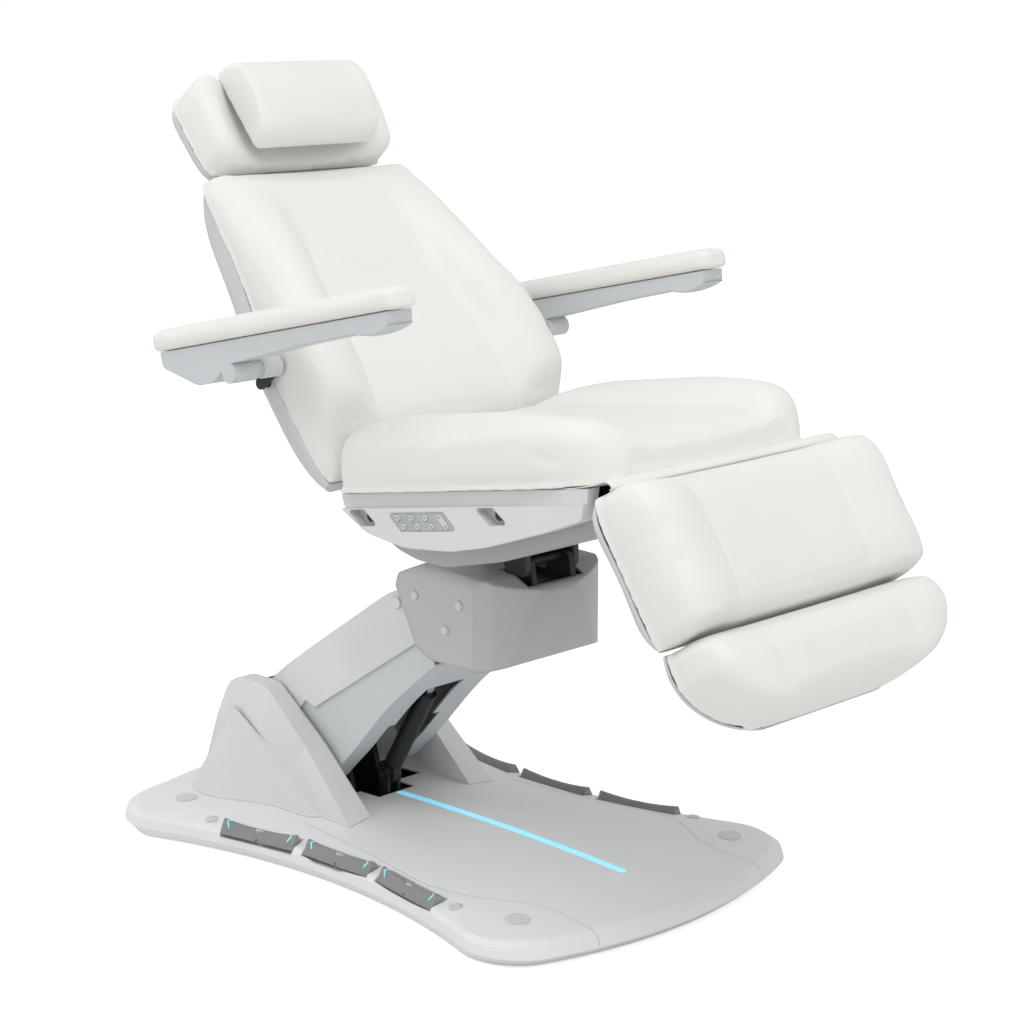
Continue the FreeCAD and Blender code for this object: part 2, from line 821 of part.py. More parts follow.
def make_upper_link():
    inner = S.arm_half_width - S.cover_wall
    wire = upper_cover_wire()
    shell = prism(wire, -S.arm_half_width, S.arm_half_width)
    top = shared(UPPER_COVER_SHARES, S.arm_length + 2 * S.upper_cover_overhang, S.upper_cover_rise,
                 -S.upper_cover_overhang)
    low = S.upper_cover_drop * 2
    under = [(x, z - S.cover_wall) for x, z in top]
    reach = S.upper_cover_overhang + S.overrun
    under[0] = (under[0][0] - reach, under[0][1])
    under[-1] = (under[-1][0] + reach, under[-1][1])
    room = side_wire(under + [(under[-1][0], -low), (under[0][0], -low)])
    shell = shell.cut(prism(room, -inner, inner))
    caps = [cross_rod(u, 0, S.arm_half_width, S.arm_half_width + S.arm_cap_height, S.arm_cap_radius)
            for u in (0, S.arm_length)]
    bosses = [cross_rod(u, 0, S.arm_half_width - S.link_bar_inset + S.running_gap, S.arm_half_width,
                        S.arm_cap_radius)
              for u in (0, S.arm_length)]
    extras = Part.makeCompound(caps + bosses)
    shell = joined(shell, *extras.Solids, *mirrored(extras).Solids)
    feature("upper_arm_cover", shell, ARM_A)

    outer = S.arm_half_width - S.link_bar_inset
    inner = outer - S.link_bar_thickness
    half = S.link_bar_width / 2
    bar = plate_bar((0, 0), (S.arm_length, 0), half, inner, outer)
    bores = [cross_rod(u, 0, inner, outer, S.arm_pin_radius + S.pin_clearance) for u in (0, S.arm_length)]
    bar = bar.cut(Part.makeCompound(bores))
    tie = cross_rod(S.arm_length * LINK_TIE_SHARE, 0, -inner, inner, half * LINK_TIE_RADIUS_SHARE)
    feature("upper_link_bars", joined(bar, mirrored(bar), tie), ARM_A)


LINK_TIE_SHARE = 0.30
LINK_TIE_RADIUS_SHARE = 0.6


def make_lower_arm():
    outer = S.arm_half_width - S.cover_wall - S.cover_gap
    inner = outer - S.cover_wall
    length = S.arm_length + S.lower_cover_overhang
    low = shared(LOWER_COVER_SHARES, length, -S.lower_cover_depth)
    rise = S.lower_cover_rise
    start = low[0][0] - S.lower_cover_overhang
    ring = [(start, rise * LOWER_REAR_SHARE), (start, low[0][1]
                                               * LOWER_REAR_DROP_SHARE)] + low + [(low[-1][0], rise)]
    bends = [S.arm_length * share for share in LOWER_COVER_ROUND_SHARES]
    radii = [0, S.lower_cover_overhang / 2, S.lower_cover_overhang] + bends + [0, 0]
    shell = prism(side_wire(ring, radii), -outer, outer)
    floor = [(x, z + S.cover_wall) for x, z in low]
    reach = S.overrun
    far = low[-1][0] + reach
    near = start - reach
    room = side_wire([(near, rise + reach), (near, floor[0][1])] + floor + [(far, floor[-1][1]),
                                                                            (far, rise + reach)])
    shell = shell.cut(prism(room, -inner, inner))
    half = S.lower_slot_width / 2
    slot = block((near, S.lower_slot_length), (-half, half), (-S.lower_cover_depth - reach, 0))
    step = block((near, S.lower_slot_length * SLOT_STEP_LENGTH_SHARE), (-half * SLOT_STEP_WIDTH_SHARE,
                 half * SLOT_STEP_WIDTH_SHARE), (-S.lower_cover_depth - reach, 0))
    rest = S.arm_half_width - S.arm_bar_inset
    bosses = [cross_rod(u, 0, rest + S.running_gap, inner + S.cover_gap, S.arm_cap_radius)
              for u in (S.arm_length * share for share in LOWER_BOSS_SHARES)]
    bosses = Part.makeCompound(bosses)
    shell = joined(shell.cut(slot).cut(step), *bosses.Solids, *mirrored(bosses).Solids)
    feature("lower_arm_cover", shell, ARM_B)

    inner = rest - S.arm_bar_thickness
    half = S.arm_bar_width / 2
    bar = plate_bar((0, 0), (S.arm_length, 0), half, inner, rest)
    bores = [cross_rod(u, 0, inner, rest, S.arm_pin_radius + S.pin_clearance) for u in (0, S.arm_length)]
    bar = bar.cut(Part.makeCompound(bores))
    tie_along = S.arm_length * ARM_TIE_SHARE
    tie = block((tie_along, tie_along + S.arm_tube), (-inner, inner), (-S.arm_tube / 2, S.arm_tube / 2))
    eye = (S.actuator_eye_along, S.actuator_eye_rise)
    ear_inner = S.actuator_eye_width
    ear_outer = ear_inner + S.clevis_thickness
    ear = plate_bar((tie_along + S.arm_tube / 2, 0), eye, S.actuator_pin_radius * 2, ear_inner, ear_outer)
    washer = cross_rod(*eye, S.actuator_eye_width / 2 + S.running_gap, ear_inner,
                       S.actuator_pin_radius * WASHER_SHARE)
    pin = cross_rod(*eye, -ear_outer, ear_outer, S.actuator_pin_radius)
    frame = joined(bar, mirrored(bar), tie, ear, mirrored(ear), washer, mirrored(washer), pin)
    feature("lower_arm_frame", frame, ARM_B)


LOWER_REAR_SHARE = 1.0
LOWER_REAR_DROP_SHARE = 0.80
LOWER_BOSS_SHARES = (0.40, 0.80)
SLOT_STEP_LENGTH_SHARE = 0.60
SLOT_STEP_WIDTH_SHARE = 1.35
ARM_TIE_SHARE = 0.36
WASHER_SHARE = 1.8


# Actuators: a tube with its motor on one pin and a rod that ends in a loose eye on the other

def actuator(label, start, end, radius, rod_radius, eye_radius, eye_width, pin_radius, play, share, y=0):
    frame = frame_between(start, end)
    length = (end - start).Length
    half = eye_width / 2
    eye = cross_rod(0, 0, -half, half, eye_radius)
    reach = length * share
    neck = block((0, eye_radius + S.overrun), (-half, half),
                 (-eye_radius * NECK_SHARE, eye_radius * NECK_SHARE))
    barrel = rod(Vector(eye_radius + S.cover_gap, 0, 0), Vector(reach, 0, 0), radius)
    room = rod(Vector(eye_radius * 2, 0, 0), Vector(reach + S.overrun, 0, 0), rod_radius + S.pin_clearance)
    bore = cross_rod(0, 0, -half, half, pin_radius + S.pin_clearance)
    tube = joined(eye, neck, barrel).cut(bore).cut(room)
    far_eye = cross_rod(length, 0, -half, half, eye_radius)
    stem_end = Vector(length - pin_radius - play - S.cover_gap, 0, 0)
    stem = rod(Vector(reach * (1 - ROD_OVERLAP_SHARE), 0, 0), stem_end, rod_radius)
    far_bore = cross_rod(length, 0, -half, half, pin_radius + play)
    ram = joined(far_eye, stem).cut(far_bore)
    for shape in (tube, ram):
        shape.Placement = FreeCAD.Placement(frame.origin + Vector(0, y, 0), frame.rotation)
    feature(label + "_tube", tube)
    feature(label + "_rod", ram)


def drive(label, start, end, play, share, side=0):
    actuator(label, start, end, S.drive_radius, S.drive_rod_radius, S.drive_eye_radius, S.drive_eye_width,
             S.drive_pin_radius, play, share, side)


ROD_OVERLAP_SHARE = 0.30
NECK_SHARE = 0.6
LIFT_TUBE_SHARE = 0.60
TILT_TUBE_SHARE = 0.62
BACK_TUBE_SHARE = 0.62
LEG_TUBE_SHARE = 0.62


def make_lift_actuator():
    start = Vector(-S.clevis_back, 0, S.clevis_height)
    end = ARM_B.at(S.actuator_eye_along, 0, S.actuator_eye_rise)
    actuator("lift_actuator", start, end, S.actuator_tube_radius, S.actuator_rod_radius,
             S.actuator_eye_radius,
             S.actuator_eye_width, S.actuator_pin_radius, S.actuator_eye_play, LIFT_TUBE_SHARE)


# Head under the seat

HEAD_SIDE_SHARES = ((0.0, 0.724), (0.199, 0.129), (0.36, 0.0), (0.797, 0.012), (0.918, 0.065), (1.0, 0.812),
                    (0.82, 0.95), (0.238, 1.0), (0.03, 0.86))
HEAD_ROUND_SHARES = (0.3, 0.9, 0.9, 0.6, 0.4, 0.6, 0.9, 0.9, 0.6)
HEAD_CREASE_SHARE = 0.74
HEAD_CHAMFER_SHARE = 0.87
HEAD_FRONT_SHARE = 0.863


def head_outline(inset=0):
    radii = [share * S.head_round for share in HEAD_ROUND_SHARES]
    wire = side_wire(shared(HEAD_SIDE_SHARES, S.head_length, S.head_height, S.head_rear, S.head_base),
                     radii)
    return wire.makeOffset2D(-inset) if inset else wire


def head_plan(inset=0):
    """The head seen from above: straight sides, a bevel at each front corner and a bulged front."""
    half = S.head_half_width - inset
    rear = S.head_rear - S.overrun
    front = S.head_rear + S.head_length - inset
    z = S.head_base - S.overrun
    crease = Vector(S.head_rear + S.head_length * HEAD_CREASE_SHARE, half, z)
    corner = Vector(S.head_rear + S.head_length * HEAD_FRONT_SHARE - inset, half * HEAD_CHAMFER_SHARE, z)

    def flip(spot):
        return Vector(spot.x, -spot.y, spot.z)

    back = Vector(rear, half, z)
    wire = Part.Wire([
        segment(back, crease), segment(crease, corner), arc(corner, Vector(front, 0, z), flip(corner)),
        segment(flip(corner), flip(crease)), segment(flip(crease), flip(back)), segment(flip(back), back),
    ])
    return Part.Face(wire).extrude(Vector(0, 0, S.head_height + 2 * S.overrun))


def head_section(inset=0):
    """The head seen from the front: large rounded upper edges and small lower ones."""
    half = S.head_half_width - inset
    low = S.head_base + inset
    high = S.head_base + S.head_height - inset
    rear = S.head_rear - S.overrun
    upper = S.head_top_round - inset
    lower = S.head_top_round * HEAD_LOWER_ROUND_SHARE
    corners = [Vector(rear, y, z) for y, z in ((-half, low), (half, low), (half, high), (-half, high))]
    wire = rounded(corners, [lower, lower, upper, upper])
    return Part.Face(wire).extrude(Vector(S.head_length + S.overrun * 2, 0, 0))


HEAD_LOWER_ROUND_SHARE = 0.4


def head_block(inset=0):
    side = prism(head_outline(inset), -S.head_half_width, S.head_half_width)
    return side.common(head_plan(inset)).common(head_section(inset))


def make_head():
    solid = head_block()
    room = head_block(S.head_wall)
    top = S.head_base + S.head_height
    mouth_half = S.arm_half_width + S.arm_cap_height + S.cover_gap
    mouth_top = HEAD_A.z + S.upper_cover_rise + S.cover_gap * 4
    mouth = block((S.head_rear - S.overrun, S.head_rear + S.head_length * HEAD_MOUTH_SHARE),
                  (-mouth_half, mouth_half), (S.head_base - S.overrun, mouth_top))
    neck_half_x = S.neck_length / 2 + S.cover_gap
    neck_half_y = S.neck_width / 2 + S.upright_thickness + S.cover_gap * 2
    hole = block((TILT.origin.x - neck_half_x, TILT.origin.x + neck_half_x), (-neck_half_y, neck_half_y),
                 (top - S.head_height / 2, top + S.overrun))
    lash = block((tilt_drive_end().x - S.drive_eye_radius * 2, TILT.origin.x),
                 (-S.drive_eye_radius * 2, S.drive_eye_radius * 2),
                 (top - S.head_height / 2, top + S.overrun))
    pads = head_lands()
    cover = joined(solid.cut(room).cut(mouth), *pads).cut(hole).cut(lash)
    feature("head_cover", cover)
    caps = []
    for along, up in HEAD_CAP_SHARES:
        x = S.head_rear + along * S.head_length
        z = S.head_base + up * S.head_height
        cap = cross_rod(x, z, S.head_half_width, S.head_half_width + S.head_cap_height, S.head_cap_radius)
        rim = [edge for edge in cap.Edges if abs(edge.BoundBox.YMin - cap.BoundBox.YMax) < S.pin_clearance]
        caps.append(cap.makeFillet(S.head_cap_height / 2, rim))
    feature("head_screw_caps", both_sides(Part.makeCompound(caps)))
    make_head_frame()


HEAD_MOUTH_SHARE = 0.36
HEAD_CAP_SHARES = ((0.191, 0.665), (0.613, 0.665), (0.480, 0.376))


def head_lands():
    """Solid bosses between the cover's sides and the head frame, behind the screw caps."""
    lands = []
    inner = head_box_half() + S.running_gap
    for along, up in HEAD_CAP_SHARES[1:]:
        x = S.head_rear + along * S.head_length
        z = S.head_base + up * S.head_height
        land = cross_rod(x, z, inner, S.head_half_width - S.head_wall / 2, S.head_cap_radius)
        lands += [land, mirrored(land)]
    return lands


def head_box_half():
    return S.upright_inner + S.upright_thickness + S.frame_wall * 6


HEAD_BOX_SHARES = SimpleNamespace(rear=0.47, front=0.88, low=0.12, high=0.84)


def make_head_frame():
    """The steel box behind the arm with its ears, both upper pins and the neck that carries the tilt pin."""
    box_half = head_box_half()
    rear = S.head_rear + HEAD_BOX_SHARES.rear * S.head_length
    front = S.head_rear + HEAD_BOX_SHARES.front * S.head_length
    low = S.head_base + HEAD_BOX_SHARES.low * S.head_height
    high = S.head_base + HEAD_BOX_SHARES.high * S.head_height
    wall = S.frame_wall * 2
    box = block((rear, front), (-box_half, box_half), (low, high))
    box = box.cut(block((rear + wall, front - wall), (-box_half - wall, box_half + wall),
                        (low + wall, high - wall)))
    sides = both_sides(block((rear, front), (box_half - wall, box_half), (low, high)))
    half = S.upright_width / 2
    ends = (S.upright_inner, S.upright_inner + S.upright_thickness)
    boss = S.arm_boss_radius
    ear = prism(side_wire([(rear + wall, low), (rear + wall, HEAD_A.z + boss), (HEAD_A.x, HEAD_A.z + boss),
                           (HEAD_A.x, HEAD_A.z), (HEAD_B.x, HEAD_B.z), (HEAD_B.x, HEAD_B.z - boss)]), *ends)
    ear = joined(ear, plate_bar((HEAD_A.x, HEAD_A.z), (HEAD_B.x, HEAD_B.z), boss, *ends))
    ears = both_sides(ear)
    pins = pin_set([HEAD_A, HEAD_B], S.arm_pin_radius, S.arm_half_width - S.link_bar_inset)
    neck_x = S.neck_length / 2
    post = both_sides(prism(side_wire([
        (TILT.origin.x - neck_x, high - wall), (TILT.origin.x + neck_x, high - wall),
        (TILT.origin.x + half, TILT.origin.z + half / 2), (TILT.origin.x - half, TILT.origin.z + half / 2),
    ], [0, 0, half / 2, half / 2]), neck_inner(), S.neck_width / 2))
    tilt_reach = S.neck_width / 2 + S.running_gap + S.upright_thickness
    tilt_pin = cross_rod(TILT.origin.x, TILT.origin.z, -tilt_reach, tilt_reach, S.tilt_pin_radius)
    drive_pin = tilt_drive_start()
    lug = both_sides(prism(side_wire([
        (rear + wall, low), (rear + wall, low + half * 2), (drive_pin.x - half / 2, drive_pin.z + half / 2),
        (drive_pin.x - half / 2, drive_pin.z - half / 2),
    ], [0, 0, half / 3, half / 3]), S.drive_eye_width / 2 + S.running_gap,
    S.drive_eye_width / 2 + S.frame_wall * 2))
    stub = cross_rod(drive_pin.x, drive_pin.z, -S.drive_eye_width, S.drive_eye_width, S.drive_pin_radius)
    frame = joined(box, *sides.Solids, *ears.Solids, *pins, *post.Solids, tilt_pin, *lug.Solids, stub)
    feature("head_frame", frame)


def neck_inner():
    return S.neck_width / 2 - S.upright_thickness


def tilt_drive_start():
    return Vector(TILT.origin.x - S.tilt_drive_rear, 0, TILT.origin.z - S.tilt_drive_drop)


def tilt_drive_end():
    return Vector(TILT.origin.x - S.tilt_eye_rear, 0, TILT.origin.z + S.tilt_eye_rise)


def make_tilt_actuator():
    drive("tilt_actuator", tilt_drive_start(), tilt_drive_end(), S.tilt_eye_play, TILT_TUBE_SHARE)


# Seat

PAD_SHARES = SimpleNamespace(foot=0.965, belly=0.42, shoulder=0.76, shoulder_width=0.955, turn=0.93,
                             turn_width=0.90,
                             crest_width=0.79, channel_width=0.575)


def pad_section(u, half, base, crest, channel, dish=0):
    """A cushion's cross-section: flat foot, bellied sides, a bolster each side and a middle channel."""
    p = PAD_SHARES
    height = crest - base

    def spot(width_share, height_share, side):
        return Vector(u, side * half * width_share, base + height * height_share)

    trough = (channel - base) / height
    crown = Vector(u, 0, channel + dish)
    edges = [segment(spot(p.foot, 0, -1), spot(p.foot, 0, 1))]
    edges.append(arc(spot(p.foot, 0, 1), spot(1, p.belly, 1), spot(p.shoulder_width, p.shoulder, 1)))
    edges.append(arc(spot(p.shoulder_width, p.shoulder, 1), spot(p.turn_width, p.turn, 1),
                     spot(p.crest_width, 1, 1)))
    edges.append(segment(spot(p.crest_width, 1, 1), spot(p.channel_width, trough, 1)))
    edges.append(arc(spot(p.channel_width, trough, 1), crown, spot(p.channel_width, trough, -1)))
    edges.append(segment(spot(p.channel_width, trough, -1), spot(p.crest_width, 1, -1)))
    edges.append(arc(spot(p.crest_width, 1, -1), spot(p.turn_width, p.turn, -1),
                     spot(p.shoulder_width, p.shoulder, -1)))
    edges.append(arc(spot(p.shoulder_width, p.shoulder, -1), spot(1, p.belly, -1), spot(p.foot, 0, -1)))
    return Part.Wire(edges)


def pad(stations, length, half, base, crest, start=0):
    """A cushion lofted through stations of (place, width, crest, channel) shares."""
    height = crest - base
    dish = height * PAD_CROWN_SHARE
    wires = [
        pad_section(start + along * length, half * width, base, base + height * top, base + height * trough,
                    dish)
        for along, width, top, trough in stations
    ]
    return loft(wires)


PAD_CROWN_SHARE = 0.02
SEAT_STATION_SHARES = (
    (0.0, 0.985, 0.70, 0.66), (0.045, 0.995, 0.88, 0.76), (0.26, 1.0, 1.0, 0.72), (0.58, 1.0, 0.99, 0.63),
    (0.82, 0.98, 0.90, 0.57), (0.92, 0.90, 0.83, 0.54), (0.975, 0.81, 0.70, 0.49), (1.0, 0.74, 0.52, 0.40),
)
SEAT_CUSHION_START_SHARE = -0.012


def make_seat_cushion():
    start = S.seat_length * SEAT_CUSHION_START_SHARE
    shape = pad(SEAT_STATION_SHARES, S.seat_length, S.seat_half_width, S.running_gap, S.seat_crest, start)
    feature("seat_cushion", shape, SEAT)


def seat_tube_top():
    return -S.cover_wall - S.running_gap


def make_seat_frame():
    top = seat_tube_top()
    low = top - S.seat_tube
    outer = S.seat_frame_half_width
    inner = outer - S.seat_tube
    start = S.seat_tube
    end = start + S.seat_frame_length
    rails = both_sides(block((start, end), (inner, outer), (low, top)))
    across = [block((u, u + S.seat_tube), (-inner, inner), (low, top))
              for u in (start, start + S.seat_frame_length * SEAT_CROSS_SHARE, end - S.seat_tube)]
    bay_start = S.drive_side - S.drive_bay_half_width
    bay_end = S.drive_side + S.drive_bay_half_width
    bays = both_sides(block((0, end + S.overrun), (bay_start, bay_end),
                            (low - S.overrun, top - S.cover_wall)))
    pan = block((start, end), (-outer, outer), (top - S.cover_wall, top))
    shelf = both_sides(block((start, end), (outer, S.side_cover_inner), (top - S.cover_wall, top)))
    pieces = list(rails.Solids) + [bar.cut(bays) for bar in across] + [pan] + list(shelf.Solids)
    pieces += seat_tilt_ears(low) + seat_hinge_lugs(low)
    for foot, side in ((back_drive_start(), S.drive_side), (leg_drive_start(), -S.drive_side)):
        pieces += drive_clevis(in_seat(foot), side, top)
    feature("seat_frame", joined(*pieces), SEAT)


SEAT_CROSS_SHARE = 0.45


def drive_clevis(place, side, top):
    """Two ears under the seat pan with the pin of a drive's tube."""
    inner = S.drive_eye_width / 2 + S.running_gap
    outer = inner + S.drive_ear_thickness
    ears = []
    for start, end in ((side + inner, side + outer), (side - outer, side - inner)):
        ears.append(plate_bar((place.x, place.z), (place.x, top - S.cover_wall - S.drive_pin_radius),
                              S.drive_pin_radius * 2, start, end).common(
            block((place.x - S.seat_tube, place.x + S.seat_tube), (start, end), (place.z * 2, top))))
    return ears + [cross_rod(place.x, place.z, side - outer, side + outer, S.drive_pin_radius)]


def back_drive_start():
    return SEAT.at(S.back_drive_along, 0, -S.back_drive_drop)


def leg_drive_start():
    return SEAT.at(S.leg_drive_along, 0, -S.leg_drive_drop)


def lever_tip(hinge, length, angle):
    """The end of a drive lever whose angle is measured from the seat's own direction."""
    turn = math.radians(angle)
    return hinge + SEAT.u * (length * math.cos(turn)) + SEAT.n * (length * math.sin(turn))


def back_drive_end():
    return lever_tip(BACK_HINGE, S.back_lever, S.back_lever_angle)


def leg_drive_end():
    return lever_tip(LEG_HINGE, S.leg_lever, S.leg_lever_angle)


def make_seat_drives():
    drive("back_actuator", back_drive_start(), back_drive_end(), S.drive_eye_play, BACK_TUBE_SHARE,
          S.drive_side)
    drive("leg_actuator", leg_drive_start(), leg_drive_end(), S.drive_eye_play, LEG_TUBE_SHARE,
          -S.drive_side)


def in_seat(place):
    return SEAT.inside(place)


def seat_tilt_ears(low):
    """Ears under the seat frame around the neck, and the lug of the tilt actuator."""
    pivot = in_seat(TILT.origin)
    half = S.upright_width / 2
    inner = S.neck_width / 2 + S.running_gap
    ear = prism(side_wire([
        (pivot.x - half * 2, low), (pivot.x - half, pivot.z - half), (pivot.x + half, pivot.z - half),
        (pivot.x + half * 2, low), (pivot.x + half * 2, low + S.seat_tube),
        (pivot.x - half * 2, low + S.seat_tube),
    ], [0, half / 2, half / 2, 0, 0, 0]), inner, inner + S.upright_thickness)
    bore = cross_rod(pivot.x, pivot.z, inner, inner + S.upright_thickness,
                     S.tilt_pin_radius + S.pin_clearance)
    shelf = block((pivot.x - half * 2, pivot.x + half * 2),
                  (-inner - S.upright_thickness, inner + S.upright_thickness),
                  (low, low + S.frame_wall * 2))
    eye = in_seat(tilt_drive_end())
    lug_inner = S.drive_eye_width / 2 + S.running_gap
    lug = prism(side_wire([
        (eye.x - half / 2, low + S.seat_tube), (eye.x - half / 2, eye.z - half / 3),
        (eye.x + half / 2, eye.z - half / 3),
        (eye.x + half / 2, low + S.seat_tube),
    ], [0, half / 4, half / 4, 0]), lug_inner, lug_inner + S.frame_wall * 2)
    pin = cross_rod(eye.x, eye.z, -lug_inner - S.frame_wall, lug_inner + S.frame_wall, S.drive_pin_radius)
    stem = block((eye.x - half / 2, pivot.x), (-lug_inner - S.frame_wall * 2, lug_inner + S.frame_wall * 2),
                 (low, low + S.frame_wall * 2))
    ear = ear.cut(bore)
    return [ear, mirrored(ear), shelf, lug, mirrored(lug), pin, stem]


def seat_hinge_lugs(low):
    """Lugs with bores for the back hinge and the leg rest hinge, outboard of both frames."""
    outer = S.seat_frame_half_width
    inner = outer - S.hinge_lug_width
    mid = low + S.seat_tube / 2
    back = in_seat(BACK_HINGE)
    leg = in_seat(LEG_HINGE)
    start = S.seat_tube
    end = start + S.seat_frame_length
    knuckle = S.hinge_knuckle_radius
    back_lug = joined(
        plate_bar((start + knuckle, low + knuckle), (-knuckle / 2, low + knuckle), knuckle * LUG_BAR_SHARE,
                  inner, outer),
        plate_bar((-knuckle / 2, low + knuckle), (back.x, back.z), knuckle * LUG_BAR_SHARE, inner, outer),
        cross_rod(back.x, back.z, inner, outer, knuckle),
    ).cut(cross_rod(back.x, back.z, inner, outer, S.hinge_pin_radius + S.pin_clearance))
    leg_bar = S.leg_knuckle_radius
    leg_lug = plate_bar((end - leg_bar * 2, mid), (leg.x, leg.z), leg_bar, inner, outer)
    leg_lug = leg_lug.cut(cross_rod(leg.x, leg.z, inner, outer, S.leg_pin_radius + S.pin_clearance))
    return [back_lug, mirrored(back_lug), leg_lug, mirrored(leg_lug)]


LUG_BAR_SHARE = 0.8


SIDE_COVER_SHARES = ((0.0, 0.0), (0.004, -0.27), (0.105, -0.74), (0.26, -1.03), (0.45, -1.10),
                     (0.60, -1.02),
                     (0.83, -0.76), (0.975, -0.56), (1.0, 0.0))
SIDE_COVER_ROUND_SHARES = (0, 0.3, 0.9, 1.5, 2.0, 2.0, 3.0, 0.2, 0)
SIDE_COVER_START_SHARE = -0.025


def side_cover_outline(inset=0):
    start = S.side_cover_length * SIDE_COVER_START_SHARE
    radii = [share * S.side_cover_depth for share in SIDE_COVER_ROUND_SHARES]
    wire = side_wire(shared(SIDE_COVER_SHARES, S.side_cover_length, S.side_cover_depth, start,
                            -S.running_gap), radii)
    return wire.makeOffset2D(-inset) if inset else wire


def slanted(along, drop, length, height, slant):
    """A parallelogram whose lower edge is shifted forward by the slant."""
    return side_wire([(along, -drop), (along + length, -drop), (along + length + slant, -drop - height),
                      (along + slant, -drop - height)], height * SLANT_ROUND_SHARE)


SLANT_ROUND_SHARE = 0.15
POCKET_DROP_SHARE = 0.30


def pocket_room(along, grow, depth):
    drop = S.side_cover_depth * POCKET_DROP_SHARE
    wire = slanted(along, drop, S.pocket_length, S.pocket_height, S.pocket_slant)
    wire = wire.makeOffset2D(grow) if grow else wire
    return prism(wire, S.side_cover_outer - depth, S.side_cover_outer + S.overrun)


def keypad_wire(grow=0):
    wire = slanted(S.keypad_along, S.keypad_drop, S.keypad_length, S.keypad_height, S.keypad_slant)
    return wire.makeOffset2D(grow) if grow else wire


def side_cover(with_keypad):
    solid = prism(side_cover_outline(), S.side_cover_inner, S.side_cover_outer)
    lip = prism(side_wire([
        (-S.seat_length, S.overrun), (S.seat_length * 2, S.overrun),
        (S.seat_length * 2, -S.side_cover_lip_depth),
        (-S.seat_length, -S.side_cover_lip_depth)]), S.side_cover_outer - S.side_cover_lip,
        S.side_cover_outer + S.overrun)
    room = prism(side_cover_outline(S.cover_wall), S.side_cover_inner + S.cover_wall,
                 S.side_cover_outer - S.side_cover_lip - S.cover_wall)
    cover = solid.cut(lip).cut(room)
    for along in (S.rear_pocket_along, S.front_pocket_along):
        tray = pocket_room(along, S.pocket_wall, S.pocket_depth + S.pocket_wall).common(solid)
        cover = cover.fuse(tray).cut(pocket_room(along, 0, S.pocket_depth))
    if with_keypad:
        cover = cover.cut(prism(keypad_wire(S.running_gap),
                                S.side_cover_outer - S.keypad_thickness - S.key_height,
                                S.side_cover_outer + S.overrun))
    return cover.removeSplitter()


def key_places():
    """Key centres, four columns of two; the last column is one tall key."""
    top = -S.keypad_drop - (S.keypad_height - S.key_row) / 2
    slope = S.keypad_slant / S.keypad_height
    margin = (S.keypad_length - S.key_pitch * 3) / 2
    for column in range(4):
        for row in range(2):
            z = top - row * S.key_row
            u = S.keypad_along + margin + column * S.key_pitch + (-S.keypad_drop - z) * slope
            yield column + 1, row, u, z


def key_shape(u, z, grow, start, end):
    return cross_rod(u, z, start, end, S.key_radius + grow)


def make_side_covers():
    feature("seat_side_cover_left", side_cover(False), SEAT)
    feature("seat_side_cover_right", mirrored(side_cover(True)), SEAT)

    socket = []
    for along in (S.rear_pocket_along, S.front_pocket_along):
        u = along + S.pocket_length * SOCKET_ALONG_SHARE + S.pocket_slant / 2
        z = -S.side_cover_depth * POCKET_DROP_SHARE - S.pocket_height / 2
        floor = S.side_cover_outer - S.pocket_depth
        body = cross_rod(u, z, floor, floor + S.socket_height, S.socket_radius)
        well = cross_rod(u, z, floor + S.socket_height / 2, floor + S.socket_height,
                         S.socket_radius * SOCKET_WELL_SHARE)
        socket.append(body.cut(well))
    feature("accessory_sockets", both_sides(Part.makeCompound(socket)), SEAT)
    make_keypad()


SOCKET_ALONG_SHARE = 0.62
SOCKET_WELL_SHARE = 0.72


def make_keypad():
    outer = S.side_cover_outer
    inner = outer - S.keypad_thickness
    holes = [key_shape(u, z, S.running_gap, inner, outer) for _, _, u, z in key_places()]
    tall = tall_key(S.running_gap, inner, outer)
    panel = prism(keypad_wire(), inner, outer).cut(Part.makeCompound(holes)).cut(tall)
    feature("keypad_panel", mirrored(panel), SEAT)
    for column, row, u, z in key_places():
        if column > 3:
            continue
        name = "key_%d_%s" % (column, "up" if row == 0 else "down")
        key = bind(DOC.addObject("Part::Cylinder", name), Radius="key_radius", Height="key_height")
        foot = Vector(u, S.key_height - S.key_proud - outer, z)
        key.Placement = SEAT.placement.multiply(FreeCAD.Placement(foot,
                                                                  FreeCAD.Rotation(Vector(1, 0, 0), 90)))
        keep(key, name)
    key = tall_key(0, outer + S.key_proud - S.key_height, outer + S.key_proud)
    feature("key_4_rocker", mirrored(key), SEAT)


def tall_key(grow, start, end):
    (_, _, top_u, top_z), (_, _, low_u, low_z) = [place for place in key_places() if place[0] > 3]
    frame = frame_between(Vector(top_u, 0, top_z), Vector(low_u, 0, low_z))
    length = math.hypot(low_u - top_u, low_z - top_z)
    wire = bar_wire((0, 0), (length, 0), S.key_radius + grow)
    wire.Placement = FreeCAD.Placement(frame.origin, frame.rotation)
    return prism(wire, start, end)


BOWL_SHARES = ((0.0, -0.62), (0.035, -0.76), (0.115, -0.90), (0.24, -1.0), (0.52, -0.92), (0.72, -0.77),
               (0.93, -0.62),
               (1.0, -0.52), (1.0, -0.30), (0.0, -0.30))
BOWL_ROUND_SHARES = (0.1, 0.5, 0.5, 0.9, 1.5, 1.5, 0.5, 0.1, 0, 0)
BOWL_START_SHARE = 0.06


